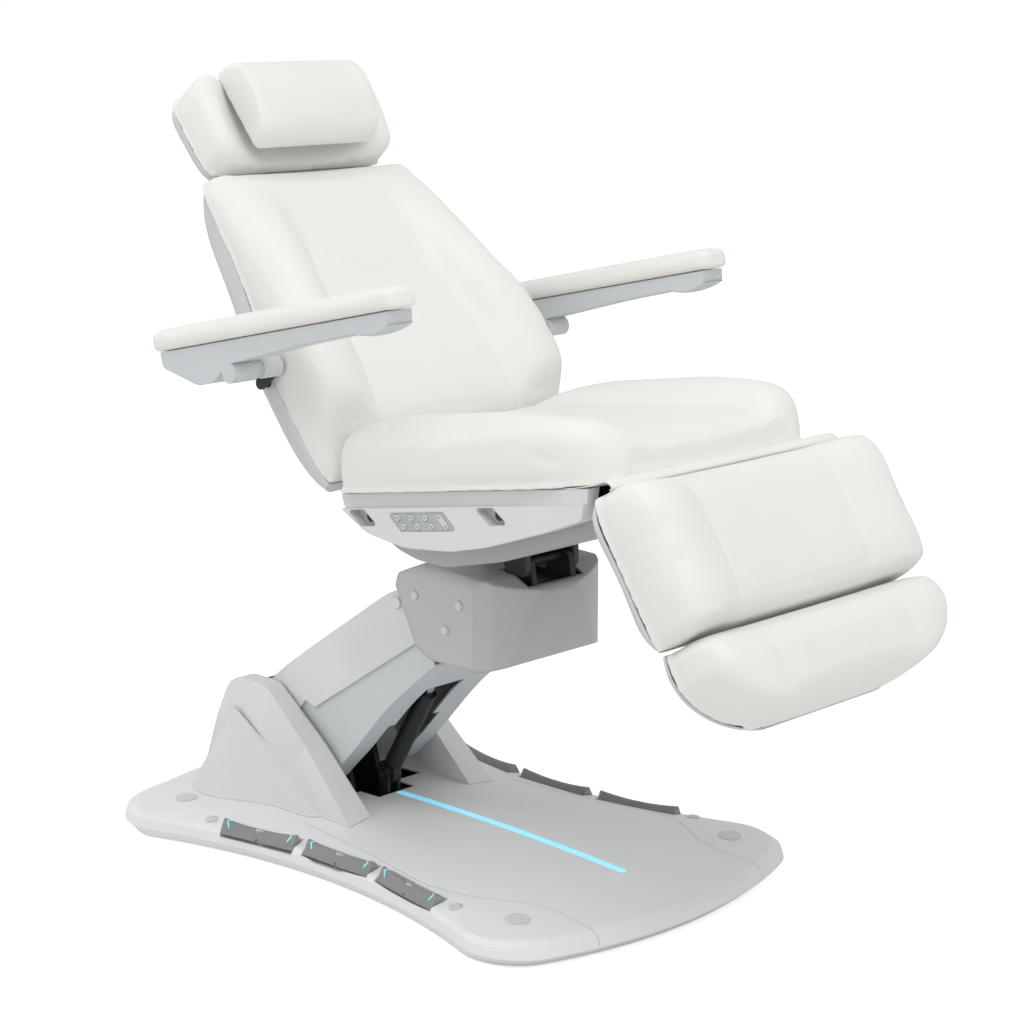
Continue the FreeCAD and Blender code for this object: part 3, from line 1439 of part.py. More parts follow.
def bowl_block(inset):
    start = S.bowl_length * BOWL_START_SHARE
    radii = [share * S.bowl_depth for share in BOWL_ROUND_SHARES]
    wire = side_wire(shared(BOWL_SHARES, S.bowl_length, S.bowl_depth, start), radii)
    wire = wire.makeOffset2D(-inset) if inset else wire
    side = prism(wire, -S.seat_half_width, S.seat_half_width)
    top = S.bowl_half_width + S.bowl_flare - inset
    low = S.bowl_half_width - S.bowl_flare - inset
    depth = S.bowl_depth + S.overrun
    points = [Vector(0, -top, 0), Vector(0, top, 0), Vector(0, low, -depth), Vector(0, -low, -depth)]
    section = Part.Face(Part.makePolygon(points + points[:1])).extrude(Vector(S.seat_length, 0, 0))
    return side.common(section)


def make_bowl():
    depth = S.bowl_depth * BOWL_RIM_SHARE
    lid = block((-S.seat_length, S.seat_length * 2), (-S.seat_half_width, S.seat_half_width),
                (-depth - S.cover_wall * 2, S.overrun))
    shell = bowl_block(0).cut(bowl_block(S.cover_wall)).cut(lid)
    pivot = in_seat(TILT.origin)
    half_u = S.neck_length / 2 + S.upright_width / 2
    half_y = S.neck_width / 2 + S.upright_thickness + S.cover_gap * 2
    bottom = -S.bowl_depth - S.overrun
    hole = block((pivot.x - half_u, pivot.x + half_u), (-half_y, half_y), (bottom, 0))
    eye = in_seat(tilt_drive_end())
    eye_half = S.drive_eye_radius * EYE_ROOM_SHARE
    hole = hole.fuse(block((eye.x - eye_half, pivot.x), (-eye_half, eye_half), (bottom, 0)))
    bay = S.drive_bay_half_width
    front = block((S.seat_length * BOWL_BAY_SHARE, S.seat_length),
                  (-S.drive_side - bay, -S.drive_side + bay),
                  (-leg_rod_floor(), 0))
    shell = shell.cut(hole).cut(front)
    tabs = []
    low = seat_tube_top() - S.seat_tube - S.running_gap
    rim = -depth - S.cover_wall * 2
    inner = S.seat_frame_half_width - S.seat_tube
    for share in BOWL_TAB_SHARES:
        u = S.bowl_length * share
        post = block((u, u + S.seat_tube), (inner, S.seat_frame_half_width), (rim - S.cover_wall, low))
        strap = block((u, u + S.seat_tube), (inner, S.seat_half_width),
                      (rim - S.cover_wall, rim)).common(bowl_block(0))
        tabs += [post.fuse(strap), mirrored(post.fuse(strap))]
    feature("seat_bowl", joined(shell, *tabs), SEAT)


def leg_rod_floor():
    return S.leg_drive_drop + S.leg_lever * BOWL_BAY_DROP_SHARE


EYE_ROOM_SHARE = 1.6
BOWL_BAY_SHARE = 0.86
BOWL_BAY_DROP_SHARE = 0.55
BOWL_TAB_SHARES = (0.16, 0.80)
BOWL_RIM_SHARE = 0.30


def make_flap():
    """The edge of the cloth bridge that hangs under the seat's front, between and beside the hinge arms."""
    end = in_seat(LEG_HINGE).x - S.leg_knuckle_radius - S.cover_gap * 2
    start = end - S.flap_length
    wall = S.flap_thickness
    top = Vector(start, 0, -S.running_gap)
    tip = Vector(end, 0, -S.flap_drop)
    bulge = Vector(start + S.flap_length * FLAP_BULGE_SHARE, 0, -S.flap_drop * FLAP_BULGE_DROP_SHARE)

    def dropped(spot):
        return spot - Vector(0, 0, wall)

    wire = Part.Wire([arc(top, bulge, tip), segment(tip, dropped(tip)),
                      arc(dropped(tip), dropped(bulge), dropped(top)),
                      segment(dropped(top), top)])
    inner = S.drive_side - S.drive_bay_half_width
    middle = prism(wire, -inner, inner)
    side = prism(wire, S.seat_frame_half_width + S.overrun, S.flap_half_width)
    feature("seat_flap", Part.makeCompound([middle, side, mirrored(side)]), SEAT)


FLAP_BULGE_SHARE = 0.55
FLAP_BULGE_DROP_SHARE = 0.25


# Back

BACK_STATION_SHARES = (
    (0.0, 0.965, 0.10, 0.06), (0.05, 0.99, 0.26, 0.22), (0.11, 1.0, 0.48, 0.42), (0.20, 1.0, 0.84, 0.50),
    (0.31, 0.985, 0.94, 0.55), (0.42, 0.95, 1.0, 0.50), (0.58, 0.875, 0.88, 0.43),
    (0.76, 0.825, 0.68, 0.47),
    (0.91, 0.805, 0.47, 0.42), (0.97, 0.79, 0.34, 0.32), (1.0, 0.75, 0.20, 0.18),
)
BACK_SHELL_STATION_SHARES = (
    (0.0, 0.955, 0.46), (0.06, 0.975, 0.68), (0.25, 0.98, 0.85), (0.45, 0.93, 1.0), (0.70, 0.83, 0.98),
    (0.90, 0.78, 0.78), (0.985, 0.735, 0.40),
)


def shell_section(u, half, face, depth):
    """A shallow tray's cross-section: flat towards the cushion, rounded edges, a flat back."""
    back_half = half * SHELL_BACK_SHARE
    knee = face - depth * SHELL_KNEE_SHARE
    turn = face - depth * SHELL_TURN_SHARE
    turn_half = (half + back_half) / 2 + (half - back_half) * SHELL_TURN_WIDTH_SHARE
    return Part.Wire([
        segment(Vector(u, -half, face), Vector(u, half, face)),
        segment(Vector(u, half, face), Vector(u, half, knee)),
        arc(Vector(u, half, knee), Vector(u, turn_half, turn), Vector(u, back_half, face - depth)),
        segment(Vector(u, back_half, face - depth), Vector(u, -back_half, face - depth)),
        arc(Vector(u, -back_half, face - depth), Vector(u, -turn_half, turn), Vector(u, -half, knee)),
        segment(Vector(u, -half, knee), Vector(u, -half, face)),
    ])


SHELL_BACK_SHARE = 0.86
SHELL_KNEE_SHARE = 0.30
SHELL_TURN_SHARE = 0.80
SHELL_TURN_WIDTH_SHARE = 0.25


def tray(stations, length, half, face, depth, wall, start=0):
    outer = loft([shell_section(start + a * length, half * w, face, depth * d) for a, w, d in stations])
    last = len(stations) - 1
    inner_wires = []
    for index, (a, w, d) in enumerate(stations):
        shift = wall if index == 0 else -wall if index == last else 0
        inner_wires.append(shell_section(start + a * length + shift, half * w - wall, face + wall,
                                         depth * d))
    return outer.cut(loft(inner_wires))


def make_back():
    cushion = pad(BACK_STATION_SHARES, S.back_length, S.back_half_width, -S.back_seam + S.running_gap * 2,
                  S.back_crest)
    feature("back_cushion", cushion, BACK)
    shell = tray(BACK_SHELL_STATION_SHARES, S.back_length, S.back_half_width, -S.back_seam,
                 S.back_shell_depth,
                 S.cover_wall)
    axle = cross_rod(S.arm_rest_along, -S.back_hinge_depth, -S.back_half_width - S.overrun,
                     S.back_half_width + S.overrun, S.arm_axle_radius + S.running_gap)
    level = headrest_post_level()
    start = headrest_start() - S.headrest_post_length / 2
    shell = shell.cut(axle).cut(back_hinge_slot())
    for side in (S.headrest_post_side, -S.headrest_post_side):
        shell = shell.cut(rod(Vector(start, side, level),
                              Vector(S.back_length + S.headrest_gap, side, level),
                              S.headrest_post_radius + S.running_gap))
    feature("back_shell", shell, BACK)
    make_back_frame()


def back_hinge_slot():
    half = S.hinge_knuckle_radius + S.cover_gap
    reach = S.seat_frame_half_width + S.cover_gap
    return block((-half, S.back_hinge_along + half), (-reach, reach),
                 (-S.back_shell_depth, -S.back_seam + S.overrun))


def make_back_frame():
    """Two side tubes with cross tubes, hinge pins and a drive lever at the foot, and axles for the armrests."""
    level = -S.back_hinge_depth
    foot = S.back_hinge_along
    half = S.back_tube / 2
    outer = S.seat_frame_half_width - S.hinge_lug_width - S.running_gap
    inner = outer - S.hinge_strap_width
    rail_side = outer - half - S.cover_gap
    rail = rod(Vector(foot, rail_side, level), Vector(S.back_length * BACK_RAIL_SHARE, rail_side, level),
               half)
    knuckle = cross_rod(foot, level, inner, outer, S.hinge_knuckle_radius)
    pin = cross_rod(foot, level, inner, S.seat_frame_half_width, S.hinge_pin_radius)
    torsion = cross_rod(foot, level, -outer, outer, half * BACK_CROSS_SHARE)
    cross = [cross_rod(S.back_length * share, level, -rail_side, rail_side, half * BACK_CROSS_SHARE)
             for share in BACK_CROSS_SHARES]
    side = S.arm_plate_side + S.arm_plate_thickness
    axle = cross_rod(S.arm_rest_along, level, -side, side, S.arm_axle_radius)
    plate = plate_bar((S.arm_rest_along, level), (S.arm_rest_along, S.arm_rest_depth),
                      S.arm_axle_radius * PLATE_SHARE,
                      S.arm_plate_side, side)
    stub = cross_rod(S.arm_rest_along, S.arm_rest_depth, S.arm_plate_side, arm_axle_reach(),
                     S.arm_axle_radius)
    halves = []
    for shape in (rail, knuckle, pin, plate, stub):
        halves += [shape, mirrored(shape)]
    tip = BACK.inside(back_drive_end())
    levers = lever_plates((foot, level), [(tip.x, tip.z)], S.hinge_knuckle_radius * LEVER_SHARE, -1)
    feature("back_frame", joined(*halves, torsion, *cross, axle, *levers), BACK)


def lever_plates(hinge, places, half, side):
    """A pair of lever plates through the places, with the pin that takes a drive's eye."""
    inner = S.drive_eye_width / 2 + S.running_gap
    outer = inner + S.drive_ear_thickness
    middle = S.drive_side * side
    pieces = []
    for start, end in ((middle + inner, middle + outer), (middle - outer, middle - inner)):
        stops = [hinge] + places
        for first, last in zip(stops, stops[1:]):
            pieces.append(plate_bar(first, last, half, start, end))
    tip = places[-1]
    pieces.append(cross_rod(tip[0], tip[1], middle - outer, middle + outer, S.drive_pin_radius))
    return pieces


LEVER_SHARE = 0.6
PLATE_SHARE = 1.2
BACK_RAIL_SHARE = 0.90
BACK_CROSS_SHARE = 0.8
BACK_CROSS_SHARES = (0.16, 0.62, 0.88)


def arm_axle_reach():
    return S.arm_rest_inner + S.arm_beam_inset + S.overrun * 2


# Headrest

HEADREST_STATION_SHARES = (
    (0.0, 0.91, 0.55, 0.40), (0.10, 0.98, 0.80, 0.60), (0.40, 1.0, 0.95, 0.66), (0.75, 0.99, 1.0, 0.68),
    (0.93, 0.93, 0.90, 0.66), (1.0, 0.82, 0.66, 0.52),
)
HEADREST_SHELL_SHARES = ((0.0, 0.84, 0.95), (0.10, 0.94, 0.9), (0.50, 0.97, 1.0), (0.90, 0.93, 0.9),
                         (0.99, 0.80, 0.5))


def headrest_start():
    return S.back_length + S.headrest_gap


def make_headrest():
    start = headrest_start()
    cushion = pad(HEADREST_STATION_SHARES, S.headrest_length, S.headrest_half_width,
                  -S.back_seam + S.running_gap,
                  S.headrest_crest, start)
    bed = block((start - S.overrun, start + S.headrest_length * 2), (-S.pillow_half_width - S.cover_gap,
                S.pillow_half_width + S.cover_gap), (S.pillow_face - S.running_gap, S.headrest_crest * 2))
    feature("headrest_cushion", cushion.cut(bed), BACK)
    shell = tray(HEADREST_SHELL_SHARES, S.headrest_length, S.headrest_half_width, -S.back_seam,
                 S.headrest_shell_depth, S.cover_wall, start)
    radius = S.headrest_post_radius
    level = headrest_post_level()
    posts = []
    for side in (S.headrest_post_side, -S.headrest_post_side):
        top = start + S.headrest_length * HEADREST_POST_SHARE
        posts.append(rod(Vector(top - S.headrest_post_length, side, level), Vector(top, side, level),
                         radius))
    gate = [rod(Vector(start - S.overrun, p, level), Vector(start + S.overrun, p, level),
                radius + S.cover_gap / 3)
            for p in (S.headrest_post_side, -S.headrest_post_side)]
    bridge = block((start + S.headrest_length * HEADREST_POST_SHARE - radius * 2,
                    start + S.headrest_length *
                    HEADREST_POST_SHARE), (-S.headrest_post_side, S.headrest_post_side),
                    (level - radius, level + radius))
    feature("headrest_shell", shell.cut(Part.makeCompound(gate)), BACK)
    feature("headrest_posts", joined(posts[0], posts[1], bridge), BACK)
    make_pillow()


HEADREST_POST_SHARE = 0.72


def headrest_post_level():
    return -S.back_seam - S.cover_wall - S.headrest_post_radius - S.running_gap


def pillow_section(y, share):
    """The pillow's D-shaped end seen from the side: flat behind, full in front."""
    length = S.pillow_length * share
    start = headrest_start() + (S.pillow_length - length) / 2
    end = start + length
    rise = S.pillow_height * share
    face = S.pillow_face
    low = Vector(start, y, face + S.pillow_height * (1 - share) / 2)
    high = Vector(end, y, low.z)
    nose = Vector(start + length * PILLOW_NOSE_SHARES[0], y, face + rise * PILLOW_NOSE_SHARES[1])
    brow = Vector(start + length * PILLOW_BROW_SHARES[0], y, face + rise)
    chin_mid = Vector(start + length * PILLOW_CHIN_SHARES[0], y, face + rise * PILLOW_CHIN_SHARES[1])
    cheek_mid = Vector(start + length * PILLOW_CHEEK_SHARES[0], y, face + rise * PILLOW_CHEEK_SHARES[1])
    crown_mid = Vector(start + length * PILLOW_CROWN_SHARES[0], y, face + rise * PILLOW_CROWN_SHARES[1])
    return Part.Wire([segment(high, low), arc(low, chin_mid, nose), arc(nose, cheek_mid, brow),
                      arc(brow, crown_mid, high)])


PILLOW_NOSE_SHARES = (0.16, 0.66)
PILLOW_BROW_SHARES = (0.62, 1.0)
PILLOW_CHIN_SHARES = (0.02, 0.36)
PILLOW_CHEEK_SHARES = (0.36, 0.93)
PILLOW_CROWN_SHARES = (0.93, 0.72)
PILLOW_STATION_SHARES = (
    (-1.0, 0.86), (-0.96, 0.955), (-0.88, 0.99), (-0.70, 1.0), (-0.45, 1.0), (-0.20, 1.0),
    (0.20, 1.0), (0.45, 1.0), (0.70, 1.0), (0.88, 0.99), (0.96, 0.955), (1.0, 0.86),
)


def make_pillow():
    wires = [pillow_section(side * S.pillow_half_width, share) for side, share in PILLOW_STATION_SHARES]
    feature("head_pillow", loft(wires), BACK)


# Leg rest and foot rest

LEG_STATION_SHARES = (
    (0.0, 0.90, 0.52, 0.46), (0.07, 0.965, 0.86, 0.66), (0.28, 1.0, 1.0, 0.74), (0.70, 1.0, 0.99, 0.75),
    (0.93, 0.99, 0.90, 0.70), (1.0, 0.96, 0.66, 0.55),
)
LEG_SHELL_SHARES = ((0.0, 0.90, 0.60), (0.08, 0.97, 0.95), (0.50, 0.99, 1.0), (0.92, 0.98, 0.95),
                    (1.0, 0.95, 0.60))
FOOT_STATION_SHARES = (
    (0.0, 0.96, 0.66, 0.60), (0.10, 0.99, 0.90, 0.86), (0.40, 0.99, 1.0, 0.93), (0.65, 0.90, 0.98, 0.92),
    (0.83, 0.775, 0.93, 0.88), (0.94, 0.64, 0.85, 0.82), (1.0, 0.52, 0.70, 0.66),
)
FOOT_SHELL_SHARES = ((0.0, 0.965, 1.0), (0.10, 0.985, 1.0), (0.40, 0.98, 1.0), (0.65, 0.895, 1.0),
                     (0.83, 0.77, 0.95),
                     (0.94, 0.635, 0.9), (1.005, 0.51, 0.7))


def make_leg_rest():
    face = S.leg_shell_depth
    start = -S.leg_overhang
    feature("leg_cushion", pad(LEG_STATION_SHARES, S.leg_length, S.leg_half_width, face + S.running_gap,
                               S.leg_crest,
                               start), LEG)
    shell = tray(LEG_SHELL_SHARES, S.leg_length - S.cover_gap * 2, S.leg_half_width, face,
                 S.leg_shell_depth,
                 S.cover_wall, start + S.cover_gap)
    reach = S.seat_frame_half_width - S.hinge_lug_width + S.cover_gap
    slots = [block((start - S.overrun, S.overrun), (-reach, reach), (S.cover_wall, face + S.overrun))]
    tip = LEG.inside(leg_drive_end())
    room = S.drive_eye_radius + S.cover_gap * 2
    bay = S.drive_bay_half_width
    slots.append(block((start - S.overrun, tip.x + room), (S.drive_side - bay, S.drive_side + bay),
                       (-S.overrun, face + S.overrun)).mirror(Vector(), Vector(0, 1, 0)))
    for side in (S.foot_rod_side, -S.foot_rod_side):
        slots.append(rod(Vector(S.leg_length / 2, side, foot_rod_level()),
                         Vector(S.leg_length * 2, side, foot_rod_level()),
                         S.foot_rod_radius + S.running_gap))
    for slot in slots:
        shell = shell.cut(slot)
    feature("leg_shell", shell, LEG)
    make_leg_frame()
    make_foot_rest()


def foot_rod_level():
    return S.leg_shell_depth - S.foot_shell_depth + S.cover_wall + S.foot_rod_radius + S.running_gap


def make_leg_frame():
    """Hinge arms, the drive lever and the two guide tubes that the foot rest's rods slide in."""
    outer = S.seat_frame_half_width - S.hinge_lug_width - S.running_gap
    inner = outer - S.hinge_strap_width
    level = foot_rod_level()
    radius = S.foot_rod_radius + S.frame_wall
    guide_start = S.seat_tube * GUIDE_START_SHARE
    guide_end = S.leg_length * LEG_GUIDE_SHARE
    hinge = (-S.leg_hinge_reach, S.leg_hinge_rise)
    knuckle = S.leg_knuckle_radius
    elbow = (-S.leg_hinge_reach, level)
    pieces = [cross_rod(*hinge, -outer, outer, knuckle)]
    arm = joined(plate_bar(hinge, elbow, knuckle, inner, outer),
                 plate_bar(elbow, (guide_start + knuckle, level), knuckle, inner, outer),
                 cross_rod(*hinge, inner, S.seat_frame_half_width, S.leg_pin_radius))
    pieces += [arm, mirrored(arm)]
    bridge = block((guide_start, guide_start + S.seat_tube), (-outer, outer),
                   (level - knuckle, level + knuckle))
    pieces.append(bridge)
    tip = LEG.inside(leg_drive_end())
    corner = (-S.leg_hinge_reach, level / 2)
    pieces += lever_plates(hinge, [corner, (tip.x, tip.z)], knuckle, -1)
    bores = []
    for side in (S.foot_rod_side, -S.foot_rod_side):
        start = Vector(guide_start, side, level)
        end = Vector(guide_end, side, level)
        pieces.append(rod(start, end, radius))
        bores.append(rod(start - Vector(S.seat_tube, 0, 0), end + Vector(S.overrun, 0, 0),
                         S.foot_rod_radius + S.pin_clearance))
    frame = joined(*pieces)
    for bore in bores:
        frame = frame.cut(bore)
    feature("leg_frame", frame, LEG)


GUIDE_START_SHARE = 1.1
LEG_GUIDE_SHARE = 0.80


def foot_start():
    return S.leg_length - S.leg_overhang + S.foot_gap


def make_foot_rest():
    start = foot_start()
    face = S.leg_shell_depth
    feature("foot_cushion", pad(FOOT_STATION_SHARES, S.foot_length, S.foot_half_width, face + S.running_gap,
                                S.foot_crest, start), LEG)
    shell = tray(FOOT_SHELL_SHARES, S.foot_length, S.foot_half_width, face, S.foot_shell_depth,
                 S.cover_wall, start)
    level = foot_rod_level()
    rods = []
    for side in (S.foot_rod_side, -S.foot_rod_side):
        end = start + S.foot_length / 2
        rods.append(rod(Vector(end - S.foot_rod_length, side, level), Vector(end, side, level),
                        S.foot_rod_radius))
    bar_half = S.foot_rod_radius
    bar = block((end - bar_half * 2, end), (-S.foot_rod_side, S.foot_rod_side),
                (level - bar_half / 2, level + bar_half / 2))
    gates = [rod(Vector(start - S.overrun, side, level), Vector(start + S.overrun * 2, side, level),
                 S.foot_rod_radius + S.cover_gap)
             for side in (S.foot_rod_side, -S.foot_rod_side)]
    feature("foot_shell", shell.cut(Part.makeCompound(gates)), LEG)
    feature("foot_rods", joined(rods[0], rods[1], bar), LEG)


# Armrests

ARM_BEAM_SHARES = ((0.028, 0.0), (0.030, -0.60), (0.172, -1.50), (0.242, -1.50), (0.310, -0.90),
                   (0.600, -0.68),
                   (0.970, -0.56), (0.975, 0.0))
ARM_BEAM_ROUND_SHARES = (0, 0.3, 1.2, 0.9, 1.0, 6.0, 0.2, 0)
ARM_KNOB_SHARE = 0.895
ARM_KNOB_DEPTH_SHARE = 0.58


def make_armrest(side_name, side):
    top = S.arm_pad_base - S.running_gap
    rear = -S.arm_pad_rear
    inner = S.arm_rest_inner + S.arm_beam_inset
    outer = S.arm_rest_outer - S.arm_beam_inset
    radii = [share * S.arm_beam_depth for share in ARM_BEAM_ROUND_SHARES]
    wire = side_wire(shared(ARM_BEAM_SHARES, S.arm_rest_length, S.arm_beam_depth, rear, top), radii)
    beam = prism(wire, inner, outer)
    boss = cross_rod(0, 0, inner, outer, S.arm_axle_radius * 2)
    knob_u = rear + S.arm_rest_length * ARM_KNOB_SHARE
    knob_low = top - S.arm_beam_depth * ARM_KNOB_DEPTH_SHARE
    ball = (S.arm_knob_radius ** 2 + S.arm_knob_drop ** 2) / (2 * S.arm_knob_drop)
    centre = Vector(knob_u, (inner + outer) / 2, knob_low - S.arm_knob_drop + ball)
    knob = Part.makeSphere(ball, centre, Vector(0, 1, 0))
    knob = knob.common(block((-S.arm_rest_length, S.arm_rest_length), (inner, outer),
                             (knob_low - S.arm_rest_length, knob_low + S.arm_knob_drop / 2)))
    bore = cross_rod(0, 0, inner - S.overrun, inner + S.overrun * 2 + S.cover_gap,
                     S.arm_axle_radius + S.pin_clearance)
    support = joined(beam, boss, knob).cut(bore)
    pad_shape = arm_pad()
    for name, shape in (("armrest_support_", support), ("armrest_pad_", pad_shape)):
        feature(name + side_name, shape if side > 0 else mirrored(shape), ARM_REST)


def arm_pad():
    """A long flat pad with rounded corners and soft upper edges."""
    start = -S.arm_pad_rear
    end = start + S.arm_rest_length
    base = S.arm_pad_base
    slab = block((start, end), (S.arm_rest_inner, S.arm_rest_outer), (base, base + S.arm_pad_thickness))
    corner = (S.arm_rest_outer - S.arm_rest_inner) * PAD_CORNER_SHARE
    upright_edges = [edge for edge in slab.Edges if edge.BoundBox.ZLength > S.arm_pad_thickness / 2]
    slab = slab.makeFillet(corner, upright_edges)
    top_edges = [edge for edge in slab.Edges if edge.BoundBox.ZMin > base + S.arm_pad_thickness / 2]
    slab = slab.makeFillet(S.arm_pad_thickness * PAD_TOP_SHARE, top_edges)
    low_edges = [edge for edge in slab.Edges if edge.BoundBox.ZMax < base + S.arm_pad_thickness / 4]
    return slab.makeFillet(S.arm_pad_thickness * PAD_LOW_SHARE, low_edges)


PAD_CORNER_SHARE = 0.30
PAD_TOP_SHARE = 0.50
PAD_LOW_SHARE = 0.15


def check_and_export():
    DOC.recompute()
    for thing in DOC.Objects:
        if "Invalid" in thing.State or "Error" in thing.State:
            raise RuntimeError("%s failed: %s" % (thing.Label, thing.State))
    faulty = [thing.Label for thing in SUB_PARTS
              if thing.Shape.isNull() or not thing.Shape.isValid() or not thing.Shape.Solids]
    if faulty:
        raise RuntimeError("no valid shape in " + ", ".join(faulty))
    os.makedirs("parts", exist_ok=True)
    for thing in SUB_PARTS:
        thing.Shape.exportStep(os.path.join("parts", thing.Label + ".step"))
    print("%d sub-parts" % len(SUB_PARTS))


make_base()
make_pedals()
make_tower()
make_tower_bracket()
make_lower_arm()
make_upper_link()
make_lift_actuator()
make_head()
make_tilt_actuator()
make_seat_frame()
make_seat_drives()
make_bowl()
make_side_covers()
make_seat_cushion()
make_flap()
make_back()
make_headrest()
make_leg_rest()
for arm_side_name, arm_side in (("left", 1), ("right", -1)):
    make_armrest(arm_side_name, arm_side)
check_and_export()
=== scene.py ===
"""Looks for the podiatry chair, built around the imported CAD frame. Metres, Z up, X to the foot end."""
import math

import bmesh
import bpy
import numpy as np
from mathutils import Matrix, Vector
from mathutils.bvhtree import BVHTree


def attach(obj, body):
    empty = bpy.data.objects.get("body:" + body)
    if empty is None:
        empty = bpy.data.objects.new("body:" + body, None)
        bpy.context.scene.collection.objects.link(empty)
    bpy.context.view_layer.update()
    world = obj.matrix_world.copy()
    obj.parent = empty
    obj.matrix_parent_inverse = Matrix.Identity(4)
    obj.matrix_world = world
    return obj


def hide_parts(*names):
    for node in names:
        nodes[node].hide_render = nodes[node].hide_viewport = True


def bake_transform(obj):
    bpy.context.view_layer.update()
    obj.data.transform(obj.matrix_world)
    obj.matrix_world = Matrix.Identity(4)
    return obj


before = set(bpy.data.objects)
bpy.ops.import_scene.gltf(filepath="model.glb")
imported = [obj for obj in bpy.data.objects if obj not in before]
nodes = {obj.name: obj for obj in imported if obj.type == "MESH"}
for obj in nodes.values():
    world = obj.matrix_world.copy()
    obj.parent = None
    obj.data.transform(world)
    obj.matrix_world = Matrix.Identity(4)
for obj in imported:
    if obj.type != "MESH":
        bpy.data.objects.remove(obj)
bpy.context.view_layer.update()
MM = 0.001


# Camera, solved from the photograph, in metres with the sensor and lens in millimetres

SENSOR_WIDTH = 36
LENS_LENGTH = 85.316
CAMERA_PLACE = Vector((3.000, -2.956, 1.528))
CAMERA_RIGHT = Vector((0.7218, 0.6921, 0.0))
CAMERA_BACK = Vector((0.6765, -0.7055, 0.2113))

camera_data = bpy.data.cameras.new("camera")
camera = bpy.data.objects.new("camera", camera_data)
bpy.context.scene.collection.objects.link(camera)
camera_data.sensor_width = SENSOR_WIDTH
camera_data.lens = LENS_LENGTH
camera_up = CAMERA_BACK.cross(CAMERA_RIGHT)
turn = Matrix((CAMERA_RIGHT, camera_up, CAMERA_BACK)).transposed().to_4x4()
camera.matrix_world = Matrix.Translation(CAMERA_PLACE) @ turn
bpy.context.scene.camera = camera


# Local frames of the tilted parts, in millimetres

SEAT_PLACE = (56, 702)
SEAT_TILT = 8.96
BACK_HINGE = (28, 722)
BACK_LEAN = 50.7
LEG_HINGE = (600, 752)
LEG_DROP = 57
AXLE_ALONG_BACK = 217.3
AXLE_LEVEL = 20.2
ARM_RISE = 12.2


class Local:
    """A frame with u along the part, y across it and n out of its face."""

    def __init__(self, place, angle, mirrored=False):
        x, z = place
        a = math.radians(angle)
        self.o = np.array([x, 0.0, z])
        self.u = np.array([math.cos(a), 0.0, math.sin(a)])
        self.y = np.array([0.0, -1.0 if mirrored else 1.0, 0.0])
        self.n = np.cross(self.u, self.y)

    def at(self, u, y, n):
        return Vector((self.o + self.u * u + self.y * y + self.n * n) * MM)

    def many(self, points):
        p = np.asarray(points, float)
        return (self.o + p[:, :1] * self.u + p[:, 1:2] * self.y + p[:, 2:] * self.n) * MM


SEAT = Local(SEAT_PLACE, SEAT_TILT)
BACK = Local(BACK_HINGE, 180 - BACK_LEAN, True)
LEG = Local(LEG_HINGE, -LEG_DROP)
axle = BACK.at(AXLE_ALONG_BACK, 0, AXLE_LEVEL) / MM
ARM = Local((axle.x, axle.z), ARM_RISE)


# Mesh helpers

def mesh_object(name, verts, faces, smooth=True):
    mesh = bpy.data.meshes.new(name)
    mesh.from_pydata([tuple(v) for v in verts], [], faces)
    mesh.validate()
    mesh.update()
    work = bmesh.new()
    work.from_mesh(mesh)
    bmesh.ops.recalc_face_normals(work, faces=work.faces)
    work.to_mesh(mesh)
    work.free()
    if smooth:
        mesh.polygons.foreach_set("use_smooth", [True] * len(mesh.polygons))
    thing = bpy.data.objects.new(name, mesh)
    bpy.context.scene.collection.objects.link(thing)
    return thing


def tube_faces(rings, count):
    """Faces of a closed tube of rings with a cap at each end."""
    faces = []
    for i in range(rings - 1):
        for j in range(count):
            k = (j + 1) % count
            faces.append((i * count + j, i * count + k, (i + 1) * count + k, (i + 1) * count + j))
    faces.append(tuple(range(count)))
    faces.append(tuple((rings - 1) * count + j for j in range(count)))
    return faces


def smooth_table(table, at):
    """Monotone cubic values of a table whose first column is the place."""
    t = np.asarray(table, float)
    x = t[:, 0]
    out = []
    for c in range(1, t.shape[1]):
        y = t[:, c]
        h = np.diff(x)
        d = np.diff(y) / h
        m = np.zeros(len(x))
        m[0], m[-1] = d[0], d[-1]
        for i in range(1, len(x) - 1):
            if d[i - 1] * d[i] > 0:
                w1 = 2 * h[i] + h[i - 1]
                w2 = h[i] + 2 * h[i - 1]
                m[i] = (w1 + w2) / (w1 / d[i - 1] + w2 / d[i])
        i = np.clip(np.searchsorted(x, at) - 1, 0, len(x) - 2)
        s = np.clip((at - x[i]) / h[i], 0, 1)
        out.append(y[i] * (1 + 2 * s) * (1 - s) ** 2 + y[i + 1] * s * s * (3 - 2 * s)
                   + h[i] * (m[i] * s * (1 - s) ** 2 - m[i + 1] * s * s * (1 - s)))
    return out


def ease(t):
    t = np.clip(t, 0, 1)
    return t * t * (3 - 2 * t)


def bump_at(value, middle, width):
    return np.exp(-((value - middle) / width) ** 2)


def resampled(ring, count):
    """The closed ring, spaced evenly."""
    ring = np.vstack([ring, ring[:1]])
    run = np.r_[0, np.cumsum(np.linalg.norm(np.diff(ring, axis=0), axis=1))]
    at = np.linspace(0, run[-1], count, endpoint=False)
    return np.column_stack([np.interp(at, run, ring[:, k]) for k in range(ring.shape[1])])


def softened(ring, passes):
    for _ in range(passes):
        ring = 0.5 * ring + 0.25 * (np.roll(ring, 1, axis=0) + np.roll(ring, -1, axis=0))
    return ring


# Cushions, in millimetres

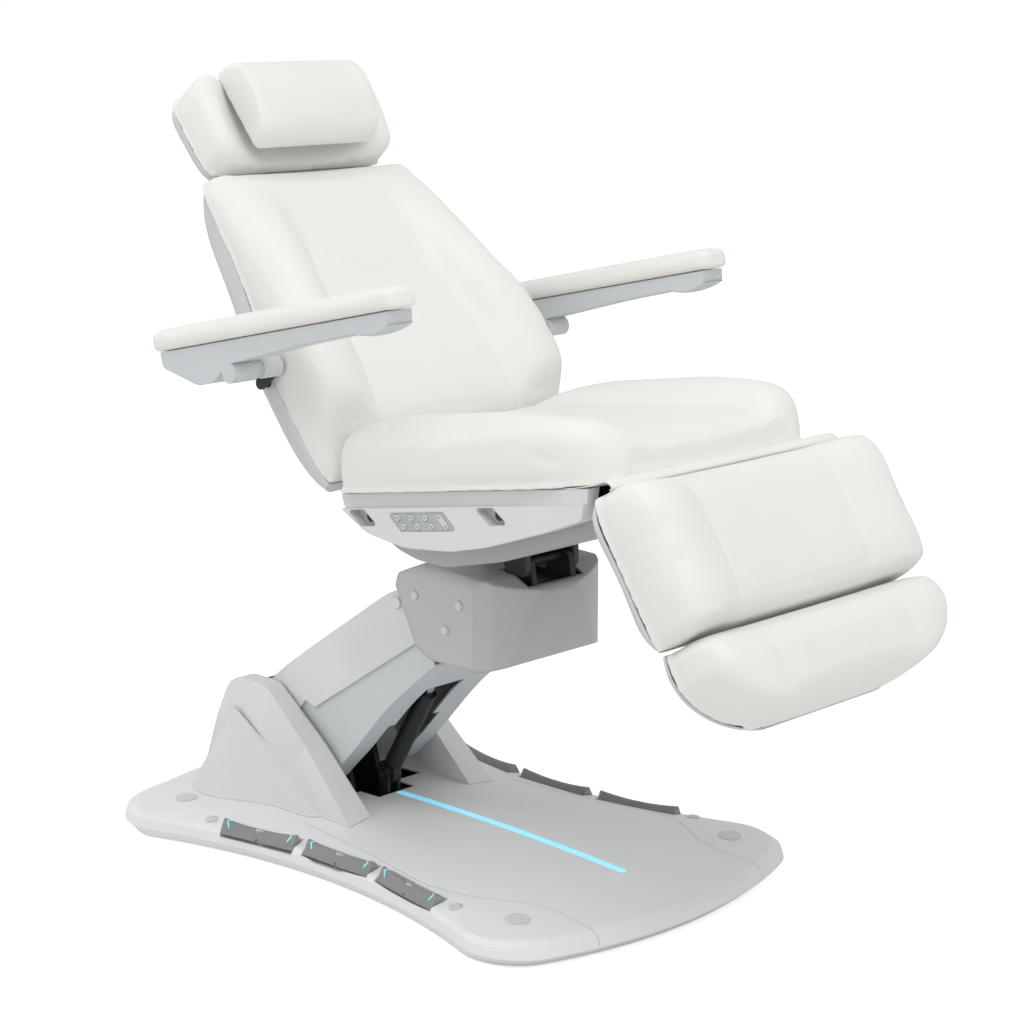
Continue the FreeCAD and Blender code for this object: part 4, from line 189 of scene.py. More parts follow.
RING_COUNT = 150
RING_POINTS = 170
CROWDED_SHARE = 0.72
END_PULL_SHARE = 0.62
WIDTH_PULL_SHARE = 0.9
CREST_PULL_SHARE = 0.95
CHANNEL_PULL_SHARE = 0.8
EDGE_REACH_SHARE = 0.9
EDGE_HEIGHT_SHARE = 0.6
LEAST_SLOPE = 6
SIDE_SHARES = ((0.984, 0), (0.997, 0.10), (1, 0.34), (0.995, 0.5))
CORNER_WIDTH_SHARE = 0.995
CORNER_ROUND_SHARE = 0.95
CORNER_POINTS = 9
SLOPE_POINTS = 26
SLOPE_FIRST_SHARE = 0.35
SLOPE_LATER_SHARE = 0.65
DISH_POWER = 1.9
CHANNEL_POINTS = 16
CHANNEL_SAG = 2.5
CRISP_HEIGHT = 3
SOFTENING_PASSES = 5


def cushion_rings(table, base, edge, end_round, inset, dish=False):
    """Closed rings of a cushion along u. The table holds u, half width, crest, crest half width, channel and
    channel half width. The flat base stays flat and the ends and upper edges are round."""
    first, last = table[0][0], table[-1][0]
    steps = np.linspace(0, 1, RING_COUNT)
    crowded = 0.5 - 0.5 * np.cos(np.pi * steps)
    places = first + (last - first) * (crowded * CROWDED_SHARE + steps * (1 - CROWDED_SHARE))
    half, crest, crest_half, channel, channel_half = smooth_table(table, places)
    rings = []
    for i, u in enumerate(places):
        near = min(u - first, last - u)
        d = np.clip(1 - near / end_round, 0, 1)
        pull = end_round * (1 - math.sqrt(max(0.0, 1 - d * d))) * END_PULL_SHARE
        w = half[i] - pull * WIDTH_PULL_SHARE - inset
        top = crest[i] - pull * CREST_PULL_SHARE - inset
        floor = base + inset
        trough = min(channel[i] - pull * CHANNEL_PULL_SHARE - inset, top)
        cw = min(crest_half[i], w - edge * EDGE_REACH_SHARE)
        tw = min(channel_half[i], cw - LEAST_SLOPE)
        height = top - floor
        r = min(edge, height * EDGE_HEIGHT_SHARE)
        side = [(w * out, floor + height * rise) for out, rise in SIDE_SHARES]
        corner = []
        across = r * CORNER_ROUND_SHARE
        for a in np.linspace(0, math.pi / 2, CORNER_POINTS):
            corner.append((w * CORNER_WIDTH_SHARE - across + across * math.cos(a), top - r + r * math.sin(a)))
        run = np.linspace(0, 1, SLOPE_POINTS)
        if dish:
            drop = SLOPE_FIRST_SHARE * ease(run) + SLOPE_LATER_SHARE * (1 - (1 - run) ** DISH_POWER)
        else:
            drop = SLOPE_FIRST_SHARE * run + SLOPE_LATER_SHARE * run * run
        slope = [(cw - (cw - tw) * s, top - (top - trough) * d) for s, d in zip(run, drop)]
        channel_floor = [(tw * (1 - s), trough - CHANNEL_SAG * math.sin(s * math.pi / 2))
                         for s in np.linspace(0, 1, CHANNEL_POINTS)[1:]]
        part = side + corner + slope[1:] + channel_floor
        whole = np.array(part + [(-a, b) for a, b in part[-2::-1]])
        whole = resampled(whole, RING_POINTS)
        keep_low = whole[:, 1] < floor + CRISP_HEIGHT
        soft = softened(whole, SOFTENING_PASSES)
        whole = np.where(keep_low[:, None], whole, soft)
        rings.append(np.column_stack([np.full(len(whole), u), whole]))
    return rings


def rings_to_mesh(name, rings, local):
    verts = np.vstack([local.many(r) for r in rings])
    return mesh_object(name, verts, tube_faces(len(rings), len(rings[0])))


def remeshed(thing, voxel):
    modifier = thing.modifiers.new("remesh", "REMESH")
    modifier.mode = "VOXEL"
    modifier.voxel_size = voxel
    modifier.use_smooth_shade = True
    apply_modifiers(thing)


def apply_modifiers(thing):
    bpy.context.view_layer.update()
    graph = bpy.context.evaluated_depsgraph_get()
    mesh = bpy.data.meshes.new_from_object(thing.evaluated_get(graph))
    old = thing.data
    thing.modifiers.clear()
    thing.data = mesh
    bpy.data.meshes.remove(old)
    mesh.polygons.foreach_set("use_smooth", [True] * len(mesh.polygons))


def coords(thing):
    co = np.empty(len(thing.data.vertices) * 3, np.float32)
    thing.data.vertices.foreach_get("co", co)
    return co.reshape(-1, 3).astype(float)


def set_coords(thing, co):
    thing.data.vertices.foreach_set("co", co.astype(np.float32).ravel())
    thing.data.update()


def normals(thing):
    no = np.empty(len(thing.data.vertices) * 3, np.float32)
    thing.data.vertices.foreach_get("normal", no)
    return no.reshape(-1, 3).astype(float)


SWELL_FRAMES = 14
CLOTH_STIFFNESS = 15
PIN_LEVELS = 10
LEAST_STEP = 1e-9


def swell(thing, pinned, pressure, cap):
    """Cloth pressure from inside, with the pinned share of each point held, and the travel capped."""
    start = coords(thing)
    group = thing.vertex_groups.new(name="pin")
    shares = np.round(pinned * PIN_LEVELS) / PIN_LEVELS
    for share in np.unique(shares):
        if share > 0:
            group.add([int(i) for i in np.nonzero(shares == share)[0]], float(share), "REPLACE")
    cloth = thing.modifiers.new("cloth", "CLOTH")
    s = cloth.settings
    s.quality = 5
    s.mass = 0.3
    s.tension_stiffness = CLOTH_STIFFNESS
    s.compression_stiffness = CLOTH_STIFFNESS
    s.shear_stiffness = 5
    s.bending_stiffness = 0.5
    s.use_pressure = True
    s.uniform_pressure_force = pressure
    s.vertex_group_mass = "pin"
    s.effector_weights.gravity = 0
    cloth.collision_settings.use_collision = False
    cloth.collision_settings.use_self_collision = False
    cloth.point_cache.frame_start = 1
    cloth.point_cache.frame_end = SWELL_FRAMES
    scene = bpy.context.scene
    for f in range(1, SWELL_FRAMES + 1):
        scene.frame_set(f)
    graph = bpy.context.evaluated_depsgraph_get()
    done = bpy.data.meshes.new_from_object(thing.evaluated_get(graph))
    moved = np.empty(len(done.vertices) * 3, np.float32)
    done.vertices.foreach_get("co", moved)
    moved = moved.reshape(-1, 3).astype(float)
    thing.modifiers.clear()
    bpy.data.meshes.remove(done)
    thing.vertex_groups.clear()
    scene.frame_set(1)
    step = moved - start
    length = np.linalg.norm(step, axis=1, keepdims=True)
    held_back = cap * np.tanh(length / cap)
    step = np.where(length > LEAST_STEP, step / np.maximum(length, LEAST_STEP) * held_back, 0)
    set_coords(thing, start + step)


def subdivided(thing):
    modifier = thing.modifiers.new("smooth", "SUBSURF")
    modifier.levels = 1
    modifier.render_levels = 1
    apply_modifiers(thing)


def in_local(thing, local):
    p = coords(thing) / MM - local.o
    return np.column_stack([p @ local.u, p @ local.y, p @ local.n])


def press(thing, local, field):
    """Moves each point along its own normal by the field's millimetres."""
    p = in_local(thing, local)
    amount = field(p[:, 0], p[:, 1], p[:, 2])
    set_coords(thing, coords(thing) + normals(thing) * amount[:, None] * MM)


FOOT_HEIGHT = 5
FOOT_HEIGHT_FADE = 7
FOOT_SIDE_SHARE = 0.90
FOOT_SIDE_FADE_SHARE = 0.06
FOOT_WIDTH_SHARE = 0.996
FOOT_END_REACH = 14
FOOT_END_FADE = 8
FOOT_END_SHARE = 0.9


def square_foot(thing, local, table, base, inset):
    """Keeps the lower edge crisp, so that the cushion meets its shell without a gap."""
    p = in_local(thing, local)
    first, last = table[0][0] + inset, table[-1][0] - inset
    half = smooth_table(table, np.clip(p[:, 0], first, last))[0] - inset
    low = 1 - ease((p[:, 2] - base - FOOT_HEIGHT) / FOOT_HEIGHT_FADE)
    side = np.abs(p[:, 1])
    outer = ease((side - half * FOOT_SIDE_SHARE) / (half * FOOT_SIDE_FADE_SHARE))
    y = np.sign(p[:, 1]) * (side + (half * FOOT_WIDTH_SHARE - side) * low * outer)
    middle = (first + last) / 2
    end = np.where(p[:, 0] > middle, last, first)
    near = ease((FOOT_END_REACH - np.abs(p[:, 0] - end)) / FOOT_END_FADE)
    u = p[:, 0] + (end - p[:, 0]) * low * near * FOOT_END_SHARE
    set_coords(thing, local.many(np.column_stack([u, y, p[:, 2]])))


CUSHION_INSET = 1
CUSHION_VOXEL = 0.0075
PINNED_HEIGHT = 14


def make_cushion(name, node, body, local, table, base, edge, end_round, creases=None, cap=5,
                 pressure=3.5, dish=False):
    """A padded cushion on its flat base. The cap is the most that the cloth may swell."""
    thing = rings_to_mesh(name, cushion_rings(table, base, edge, end_round, CUSHION_INSET, dish), local)
    remeshed(thing, CUSHION_VOXEL)
    p = in_local(thing, local)
    pinned = np.clip(1 - (p[:, 2] - base - CUSHION_INSET) / PINNED_HEIGHT, 0, 1)
    swell(thing, pinned, pressure, cap * MM)
    square_foot(thing, local, table, base, CUSHION_INSET)
    subdivided(thing)
    if creases is not None:
        press(thing, local, creases)
    p = in_local(thing, local)
    low = p[:, 2] < base
    co = coords(thing)
    co[low] += (base - p[low, 2])[:, None] * local.n * MM
    set_coords(thing, co)
    finish_piece(thing, body, LEATHER)
    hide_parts(node)


def finish_piece(thing, body, material):
    """The piece's own material and its body."""
    thing.data.materials.clear()
    thing.data.materials.append(material)
    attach(thing, body)


# Materials

def tint(hexcode):
    """A written screen colour as linear light."""
    values = [int(hexcode[i:i + 2], 16) / 255 for i in (0, 2, 4)]
    return [v / 12.92 if v <= 0.04045 else ((v + 0.055) / 1.055) ** 2.4 for v in values] + [1]


class Look:
    """A Principled material with procedural colour variation, roughness and bump."""

    def __init__(self, name, colour, roughness, metallic=0.0):
        self.m = bpy.data.materials.new(name)
        self.m.use_nodes = True
        self.tree = self.m.node_tree
        self.shader = self.tree.nodes["Principled BSDF"]
        self.colour = colour
        self.shader.inputs["Roughness"].default_value = roughness
        self.shader.inputs["Metallic"].default_value = metallic
        self.shader.inputs["Base Color"].default_value = colour
        self.place = self.node("ShaderNodeTexCoord").outputs["Object"]
        self.normal = None

    def node(self, kind, **values):
        made = self.tree.nodes.new(kind)
        for key, value in values.items():
            if key in made.inputs:
                made.inputs[key].default_value = value
            else:
                setattr(made, key, value)
        return made

    def link(self, a, b):
        self.tree.links.new(a, b)

    def noise(self, scale, detail=2.0, roughness=0.5, stretch=None):
        made = self.node("ShaderNodeTexNoise", Scale=scale, Detail=detail, Roughness=roughness)
        source = self.place
        if stretch is not None:
            mapping = self.node("ShaderNodeMapping")
            mapping.inputs["Scale"].default_value = stretch
            self.link(source, mapping.inputs["Vector"])
            source = mapping.outputs["Vector"]
        self.link(source, made.inputs["Vector"])
        return made.outputs["Fac"]

    def cells(self, scale):
        made = self.node("ShaderNodeTexVoronoi", Scale=scale)
        made.feature = "SMOOTH_F1"
        self.link(self.place, made.inputs["Vector"])
        return made.outputs["Distance"]

    def ramp(self, source, low, high, start, end):
        made = self.node("ShaderNodeMapRange")
        made.inputs["From Min"].default_value = low
        made.inputs["From Max"].default_value = high
        made.inputs["To Min"].default_value = start
        made.inputs["To Max"].default_value = end
        self.link(source, made.inputs["Value"])
        return made.outputs["Result"]

    def mottle(self, source, other, low=0.3, high=0.7, share=1.0):
        made = self.node("ShaderNodeMix")
        made.data_type = "RGBA"
        made.inputs["A"].default_value = self.colour
        made.inputs["B"].default_value = other
        self.link(self.ramp(source, low, high, 0.0, share), made.inputs["Factor"])
        self.link(made.outputs["Result"], self.shader.inputs["Base Color"])
        return made.outputs["Result"]

    def rough(self, source, start, end):
        self.link(self.ramp(source, 0.25, 0.75, start, end), self.shader.inputs["Roughness"])

    def soft_edges(self, radius):
        made = self.node("ShaderNodeBevel", Radius=radius)
        made.samples = 4
        self.normal = made.outputs["Normal"]
        self.link(self.normal, self.shader.inputs["Normal"])
        return self

    def bump(self, source, strength, distance):
        made = self.node("ShaderNodeBump", Strength=strength, Distance=distance)
        self.link(source, made.inputs["Height"])
        if self.normal is not None:
            self.link(self.normal, made.inputs["Normal"])
        self.normal = made.outputs["Normal"]
        self.link(self.normal, self.shader.inputs["Normal"])
        return self

    def edge_wear(self, base, wear, low=0.515, high=0.56, share=0.5):
        """A lighter tone where the surface turns outward, as on a handled edge."""
        point = self.node("ShaderNodeNewGeometry").outputs["Pointiness"]
        made = self.node("ShaderNodeMix")
        made.data_type = "RGBA"
        made.inputs["B"].default_value = wear
        self.link(self.ramp(point, low, high, 0.0, share), made.inputs["Factor"])
        self.link(base, made.inputs["A"])
        self.link(made.outputs["Result"], self.shader.inputs["Base Color"])


def leather(name, colour, warm):
    """Smooth coated upholstery: fine pebble grain, a soft low gloss and faint large tone changes."""
    look = Look(name, tint(colour), 0.46)
    look.mottle(look.noise(7, 3.0), tint(warm), 0.35, 0.7, 0.55)
    look.rough(look.noise(24, 3.0), 0.42, 0.52)
    look.bump(look.noise(60, 3.0), 0.05, 0.0008)
    look.bump(look.cells(1150), 0.16, 0.00016)
    look.bump(look.noise(2600, 2.0), 0.10, 0.00008)
    look.shader.inputs["Specular IOR Level"].default_value = 0.42
    look.shader.inputs["Sheen Weight"].default_value = 0.06
    look.shader.inputs["Sheen Roughness"].default_value = 0.45
    return look.m


def plastic(name, colour, shade, roughness=0.42, grain=0.08, wear="", specular=0.42, edge=0.003):
    """Moulded plastic: a fine spark texture, slight uneven gloss and paler handled edges."""
    look = Look(name, tint(colour), roughness)
    look.soft_edges(edge)
    base = look.mottle(look.noise(5, 2.0), tint(shade), 0.35, 0.7, 0.5)
    look.rough(look.noise(40, 4.0), roughness - 0.05, roughness + 0.06)
    look.bump(look.noise(9, 2.0), 0.03, 0.0015)
    look.bump(look.noise(1500, 2.0), grain, 0.00012)
    look.shader.inputs["Specular IOR Level"].default_value = specular
    if wear:
        look.edge_wear(base, tint(wear))
    return look.m


def metal(name, colour, shade, roughness):
    """Brushed or turned metal with fine lines."""
    stretch = (1, 1, 60)
    look = Look(name, tint(colour), roughness, 1.0)
    look.mottle(look.noise(12, 3.0), tint(shade), 0.3, 0.7, 0.6)
    look.rough(look.noise(260, 3.0, 0.6, stretch), roughness - 0.07, roughness + 0.09)
    look.bump(look.noise(420, 2.0, 0.5, stretch), 0.06, 0.0001)
    return look.m


def powder_coat(name, colour, shade, roughness=0.5):
    """Powder-coated steel with a soft orange peel."""
    look = Look(name, tint(colour), roughness)
    base = look.mottle(look.noise(9, 3.0), tint(shade), 0.3, 0.7, 0.6)
    look.rough(look.noise(55, 3.0), roughness - 0.06, roughness + 0.08)
    look.bump(look.noise(520, 2.0), 0.14, 0.00025)
    look.edge_wear(base, tint("4a4b4d"), 0.52, 0.58, 0.4)
    return look.m


def glow(name, colour, power):
    """A light strip or lit mark."""
    look = Look(name, tint(colour), 0.22)
    look.mottle(look.noise(30, 2.0), tint("8ddcff"), 0.3, 0.7, 0.4)
    look.bump(look.noise(300, 2.0), 0.03, 0.0002)
    look.shader.inputs["Emission Color"].default_value = tint("7fdcff")
    look.shader.inputs["Emission Strength"].default_value = power
    return look.m


LEATHER = leather("upholstery", "f0f0ec", "ecebe6")
COVER = plastic("cover_plastic", "e0e1e2", "dadbdc", 0.44, 0.08, "ebebeb")
# Painted light: the base deck is the cover plastic made paler, to make up for the shade that the seat casts
# on it.
DECK_PAINTED_LIGHT = plastic("deck_plastic_painted_light", "ebecec", "e6e7e7", 0.46, 0.08, "f2f2f2")
COVER_SIDE = plastic("side_plastic", "dcdcdd", "d6d6d7", 0.44, 0.08, "e8e8e8")
BOWL = plastic("bowl_plastic", "a9a9aa", "a2a2a4", 0.46, 0.10, "bdbdbd")
SHELL = plastic("shell_plastic", "cfd1d3", "c8cacc", 0.44, 0.08, "dee0e1")
HEAD = plastic("head_plastic", "bcbcbd", "b5b5b7", 0.42, 0.09, "cccccc", edge=0.010)
LOWER = plastic("lower_arm_plastic", "c9cdcf", "c2c6c8", 0.40, 0.07, "dde0e1")
BEAM = plastic("beam_plastic", "cbcfd1", "c4c8ca", 0.40, 0.07, "dadddf")
PEDAL = plastic("pedal_plastic", "8e8f8f", "858686", 0.52, 0.16, "a5a6a6")
SOCKET = plastic("socket_plastic", "6e6f70", "636465", 0.5, 0.12)
KEYPAD = plastic("keypad_plastic", "b9babb", "b2b3b4", 0.48, 0.06)
KEY = plastic("key_plastic", "d9dadb", "d2d3d4", 0.38, 0.04)
BLACK = plastic("black_plastic", "17181a", "101113", 0.42, 0.12, "2b2c2e")
FRAME_STEEL = powder_coat("frame_steel", "232427", "1b1c1e")
ROD = metal("rod_steel", "b9bcbf", "a4a7aa", 0.24)
CAP = plastic("cap_plastic", "d8d8d9", "d2d2d3", 0.36, 0.05, "e4e4e4")
LED = glow("led_light", "99e3ff", 0.55)
TEAL = glow("pedal_mark", "7fe3dc", 0.35)
WHITE_MARK = plastic("white_mark", "e9eaea", "e2e3e3", 0.45, 0.05)
DARK_MARK = plastic("dark_mark", "4c4e50", "434547", 0.5, 0.05)
BLUE_MARK = plastic("key_dash", "a5c9d4", "9cc2ce", 0.45, 0.05)
SEAM = plastic("seam_shadow", "a9a9a9", "a2a2a2", 0.6, 0.05)

NODE_LOOKS = {
    "base_plate": BLACK, "base_cover": DECK_PAINTED_LIGHT, "led_strip": LED, "base_screw_caps": CAP,
    "tower_cover_left": COVER, "tower_cover_right": COVER, "tower_bracket": FRAME_STEEL,
    "lower_arm_frame": FRAME_STEEL, "lower_arm_cover": LOWER, "upper_link_bars": FRAME_STEEL,
    "upper_arm_cover": COVER, "lift_actuator_tube": BLACK, "lift_actuator_rod": ROD,
    "head_frame": FRAME_STEEL, "head_cover": HEAD, "head_screw_caps": CAP,
    "tilt_actuator_tube": BLACK, "tilt_actuator_rod": ROD, "seat_frame": FRAME_STEEL,
    "seat_bowl": BOWL, "seat_side_cover_left": COVER_SIDE, "seat_side_cover_right": COVER_SIDE,
    "accessory_sockets": SOCKET, "keypad_panel": KEYPAD, "seat_cushion": LEATHER, "seat_flap": LEATHER,
    "back_actuator_tube": BLACK, "back_actuator_rod": ROD, "leg_actuator_tube": BLACK,
    "leg_actuator_rod": ROD, "back_frame": FRAME_STEEL, "back_shell": SHELL, "back_cushion": LEATHER,
    "headrest_posts": ROD, "headrest_shell": SHELL, "headrest_cushion": LEATHER, "head_pillow": LEATHER,
    "leg_frame": FRAME_STEEL, "leg_shell": SHELL, "leg_cushion": LEATHER, "foot_rods": ROD,
    "foot_shell": SHELL, "foot_cushion": LEATHER, "armrest_support_left": BEAM,
    "armrest_support_right": BEAM, "armrest_pad_left": LEATHER, "armrest_pad_right": LEATHER,
}
for node_name, thing in nodes.items():
    look = NODE_LOOKS.get(node_name)
    if look is None:
        look = PEDAL if node_name.startswith("pedal") else KEY
    thing.data.materials.clear()
    thing.data.materials.append(look)


# Sewn lines, in millimetres

CREASE_WIDTH = 6


def sewn_lines(depth, line, begin, fade_in, end, fade_out, low, rise):
    """A groove on each side of the middle that fades in and out along the cushion and towards its foot."""
    def field(u, y, n):
        near = bump_at(np.abs(y), line(u), CREASE_WIDTH)
        along = ease((u - begin) / fade_in) * (1 - ease((u - end) / fade_out))
        return -depth * near * along * ease((n - low) / rise)
    return field


# Seat cushion

SEAT_LINE = 166.5

SEAT_TABLE = [
    (-7, 296, 84, 226, 80, 160), (19, 299, 104, 234, 91, 165), (80, 300, 114, 236, 88, 170),
    (142, 300, 119, 238, 86, 172), (326, 300, 118, 238, 75, 172), (463, 295, 107, 232, 68, 172),
    (500, 283, 101, 222, 66, 168), (535, 262, 90, 206, 62, 160), (567, 226, 64, 178, 51, 142),
]
SEAT_BASE = 0.3
seat_creases = sewn_lines(depth=2.2, line=lambda u: SEAT_LINE, begin=60, fade_in=120, end=420, fade_out=110,
                          low=50, rise=20)
make_cushion("seat_pad", "seat_cushion", "seat", SEAT, SEAT_TABLE, SEAT_BASE, 30, 22, seat_creases)


# Back cushion

BACK_LINE = 168
BACK_LINE_DRAW = 0.10
BACK_LINE_FROM = 60
BACK_BASE = -15.4


def back_line(u):
    """The channel's edge draws in towards the top."""
    return BACK_LINE - BACK_LINE_DRAW * np.maximum(u - BACK_LINE_FROM, 0)


BACK_TABLE = [
    (0, 290, 12, 236, 6, 168), (31, 298, 26, 240, 20, 170), (68, 300, 52, 240, 42, 170),
    (124, 300, 98, 238, 50, 168), (192, 296, 108, 234, 55, 165), (260, 286, 111, 226, 50, 158),
    (358, 264, 98, 206, 43, 146), (470, 250, 74, 192, 45, 136), (562, 243, 48, 184, 42, 126),
    (599, 238, 34, 174, 32, 118), (617, 226, 18, 158, 16, 104),
]
back_creases = sewn_lines(depth=2.4, line=back_line, begin=20, fade_in=60, end=260, fade_out=260,
                          low=0, rise=30)
make_cushion("back_pad", "back_cushion", "back", BACK, BACK_TABLE, BACK_BASE, 34, 20, back_creases,
             pressure=3.0)


# Leg and foot cushions

LEG_LINE = 166
LEG_BASE = 23.3

LEG_TABLE = [
    (-12, 288, 88, 240, 80, 166), (6, 300, 120, 248, 96, 166), (59, 306, 134, 254, 104, 166),
    (166, 306, 133, 254, 106, 166), (224, 304, 126, 250, 100, 166), (242, 297, 102, 244, 86, 166),
]
leg_creases = sewn_lines(depth=2.4, line=lambda u: LEG_LINE, begin=10, fade_in=50, end=190, fade_out=50,
                         low=60, rise=20)
make_cushion("leg_pad", "leg_cushion", "leg", LEG, LEG_TABLE, LEG_BASE, 28, 22, leg_creases)

FOOT_TABLE = [
    (248, 285, 96, 244, 88, 166), (262, 292, 122, 246, 114, 166), (300, 294, 134, 246, 123, 166),
    (340, 274, 132, 230, 122, 162), (370, 238, 126, 198, 118, 146), (388, 196, 114, 160, 106, 122),
    (398, 158, 92, 122, 86, 96),
]
foot_creases = sewn_lines(depth=1.8, line=lambda u: LEG_LINE, begin=262, fade_in=30, end=360, fade_out=40,
                          low=60, rise=20)
make_cushion("foot_pad", "foot_cushion", "foot", LEG, FOOT_TABLE, LEG_BASE, 28, 20, foot_creases)


# Headrest and pillow

HEADREST_BASE = -15.7

HEADREST_TABLE = [
    (626, 200, 40, 188, 10, 60), (643, 211, 56, 192, 8, 66), (695, 214, 70, 196, 16, 84),
    (755, 213, 78, 190, 34, 104), (786, 203, 80, 170, 50, 112), (798, 184, 68, 150, 50, 104),
]
make_cushion("headrest_pad", "headrest_cushion", "headrest", BACK, HEADREST_TABLE, HEADREST_BASE, 20, 26,
             cap=3, pressure=2.0, dish=True)

PILLOW_LENGTH = 170
PILLOW_START = 630
PILLOW_FACE = 54
PILLOW_RISE = 74
PILLOW_HALF_WIDTH = 141
PILLOW_END_ROUND = 13
PILLOW_SHARE = 0.99
PILLOW_END_SHARE = 0.085
PILLOW_VOXEL = 0.005
PILLOW_POINTS = 120
PILLOW_PINNED_HEIGHT = 10
PILLOW_PINNED_SIDE = 130
PILLOW_PINNED_FADE = 8
PILLOW_PINNED_SHARE = 0.8
PILLOW_SEAM_SIDE = 131
PILLOW_SEAM_WIDTH = 1.8
PILLOW_SEAM_DEPTH = 0.9
PILLOW_SEAM_HEIGHT = 58
PILLOW_SEAM_FADE = 8
PILLOW_SECTION_SHARES = (
    (0.0, 0.0), (0.02, 0.2), (0.04, 0.42), (0.09, 0.60), (0.20, 0.74), (0.36, 0.88), (0.50, 0.965),
    (0.64, 1.0), (0.78, 0.95), (0.89, 0.80), (0.965, 0.55), (0.995, 0.28), (1.0, 0.0),
)


def pillow_ring(y, share):
    """The pillow's D-shaped section: flat behind, full in front."""
    length = PILLOW_LENGTH * share
    start = PILLOW_START + (PILLOW_LENGTH - length) / 2
    face = PILLOW_FACE + PILLOW_RISE * (1 - share) / 2
    rise = PILLOW_RISE * share
    ring = [(start + a * length, face + b * rise) for a, b in PILLOW_SECTION_SHARES]
    ring += [(start + a * length, face) for a in np.linspace(1, 0, 12)[1:-1]]
    ring = softened(resampled(np.array(ring), PILLOW_POINTS), 3)
    return np.column_stack([ring[:, 0], np.full(PILLOW_POINTS, y), ring[:, 1]])


def pillow_seam(u, y, n):
    near = bump_at(np.abs(y), PILLOW_SEAM_SIDE, PILLOW_SEAM_WIDTH)
    return -PILLOW_SEAM_DEPTH * near * ease((n - PILLOW_SEAM_HEIGHT) / PILLOW_SEAM_FADE)


def make_pillow():
    rings = []
    for side in -np.cos(np.linspace(0, np.pi, 70)):
        y = PILLOW_HALF_WIDTH * side
        near = PILLOW_HALF_WIDTH - abs(y)
        d = max(0.0, 1 - near / PILLOW_END_ROUND)
        rings.append(pillow_ring(y, PILLOW_SHARE - PILLOW_END_SHARE * (1 - math.sqrt(max(0.0, 1 - d * d)))))
    thing = rings_to_mesh("pillow", rings, BACK)
    remeshed(thing, PILLOW_VOXEL)
    p = in_local(thing, BACK)
    pinned = np.clip(1 - (p[:, 2] - PILLOW_FACE) / PILLOW_PINNED_HEIGHT, 0, 1)
    ends = ease((np.abs(p[:, 1]) - PILLOW_PINNED_SIDE) / PILLOW_PINNED_FADE)
    swell(thing, np.maximum(pinned, ends * PILLOW_PINNED_SHARE), 2.5, 3 * MM)
    subdivided(thing)
    press(thing, BACK, pillow_seam)
    finish_piece(thing, "headrest", LEATHER)
    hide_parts("head_pillow")


make_pillow()


# Armrest pads

ARM_PAD_SIDE = 382
ARM_PAD_REAR = -190.5
ARM_PAD_FRONT = 419.5
ARM_PAD_ROUND = 26
ARM_PAD_HALF_WIDTH = 35.2
ARM_PAD_TOP = 91.0
ARM_PAD_BASE = 54.3
ARM_PAD_PULL_SHARES = (0.62, 0.40, 0.10)
ARM_PAD_WIDTH_POWER = 0.45
ARM_PAD_UPPER_POWER = 0.62
ARM_PAD_LOWER_POWER = 0.42
ARM_PAD_POINTS = 72
ARM_PAD_VOXEL = 0.004
ARM_PAD_PINNED = 56
ARM_PAD_PINNED_HEIGHT = 9


def arm_pad_ring(u, middle):
    """A rounded section that draws in towards both ends."""
    near = min(u - ARM_PAD_REAR, ARM_PAD_FRONT - u)
    d = max(0.0, 1 - near / ARM_PAD_ROUND)
    pull = ARM_PAD_ROUND * (1 - math.sqrt(max(0.0, 1 - d * d)))
    width_pull, top_pull, base_pull = (pull * share for share in ARM_PAD_PULL_SHARES)
    half = ARM_PAD_HALF_WIDTH - width_pull
    top = ARM_PAD_TOP - top_pull
    base = ARM_PAD_BASE + base_pull
    ring = []
    for k in range(ARM_PAD_POINTS):
        a = 2 * math.pi * k / ARM_PAD_POINTS
        c, q = math.cos(a), math.sin(a)
        power = ARM_PAD_UPPER_POWER if q > 0 else ARM_PAD_LOWER_POWER
        ring.append((u, middle + half * math.copysign(abs(c) ** ARM_PAD_WIDTH_POWER, c),
                     (top + base) / 2 + (top - base) / 2 * math.copysign(abs(q) ** power, q)))
    return np.array(ring)


def make_arm_pad(side_name, side):
    length = ARM_PAD_FRONT - ARM_PAD_REAR
    rings = [arm_pad_ring(ARM_PAD_REAR + length * (0.5 - 0.5 * math.cos(math.pi * s)), side * ARM_PAD_SIDE)
             for s in np.linspace(0, 1, 120)]
    thing = rings_to_mesh("arm_pad_" + side_name, rings, ARM)
    remeshed(thing, ARM_PAD_VOXEL)
    p = in_local(thing, ARM)
    swell(thing, np.clip(1 - (p[:, 2] - ARM_PAD_PINNED) / ARM_PAD_PINNED_HEIGHT, 0, 1), 3.0, 2 * MM)
    subdivided(thing)
    finish_piece(thing, "armrest_" + side_name, LEATHER)
    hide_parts("armrest_pad_" + side_name)


make_arm_pad("left", 1)
make_arm_pad("right", -1)


# Marks laid on the CAD surfaces, in metres

TREES = {}
RAY_START = 0.03
MARK_LIFT = 0.00022
MARK_STEP = 0.0012
FINE_STEP = 0.0006


def tree_of(node):
    if node not in TREES:
        mesh = nodes[node].data
        polygons = [tuple(p.vertices) for p in mesh.polygons]
        TREES[node] = BVHTree.FromPolygons([v.co.copy() for v in mesh.vertices], polygons)
    return TREES[node]


def landed(node, point, direction, lift):
    """Where a ray from the point meets the node, lifted off it along the surface."""
    hit, normal, _, _ = tree_of(node).ray_cast(point, direction)
    if hit is None:
        return None
    if normal.dot(direction) > 0:
        normal = -normal
    return hit + normal * lift


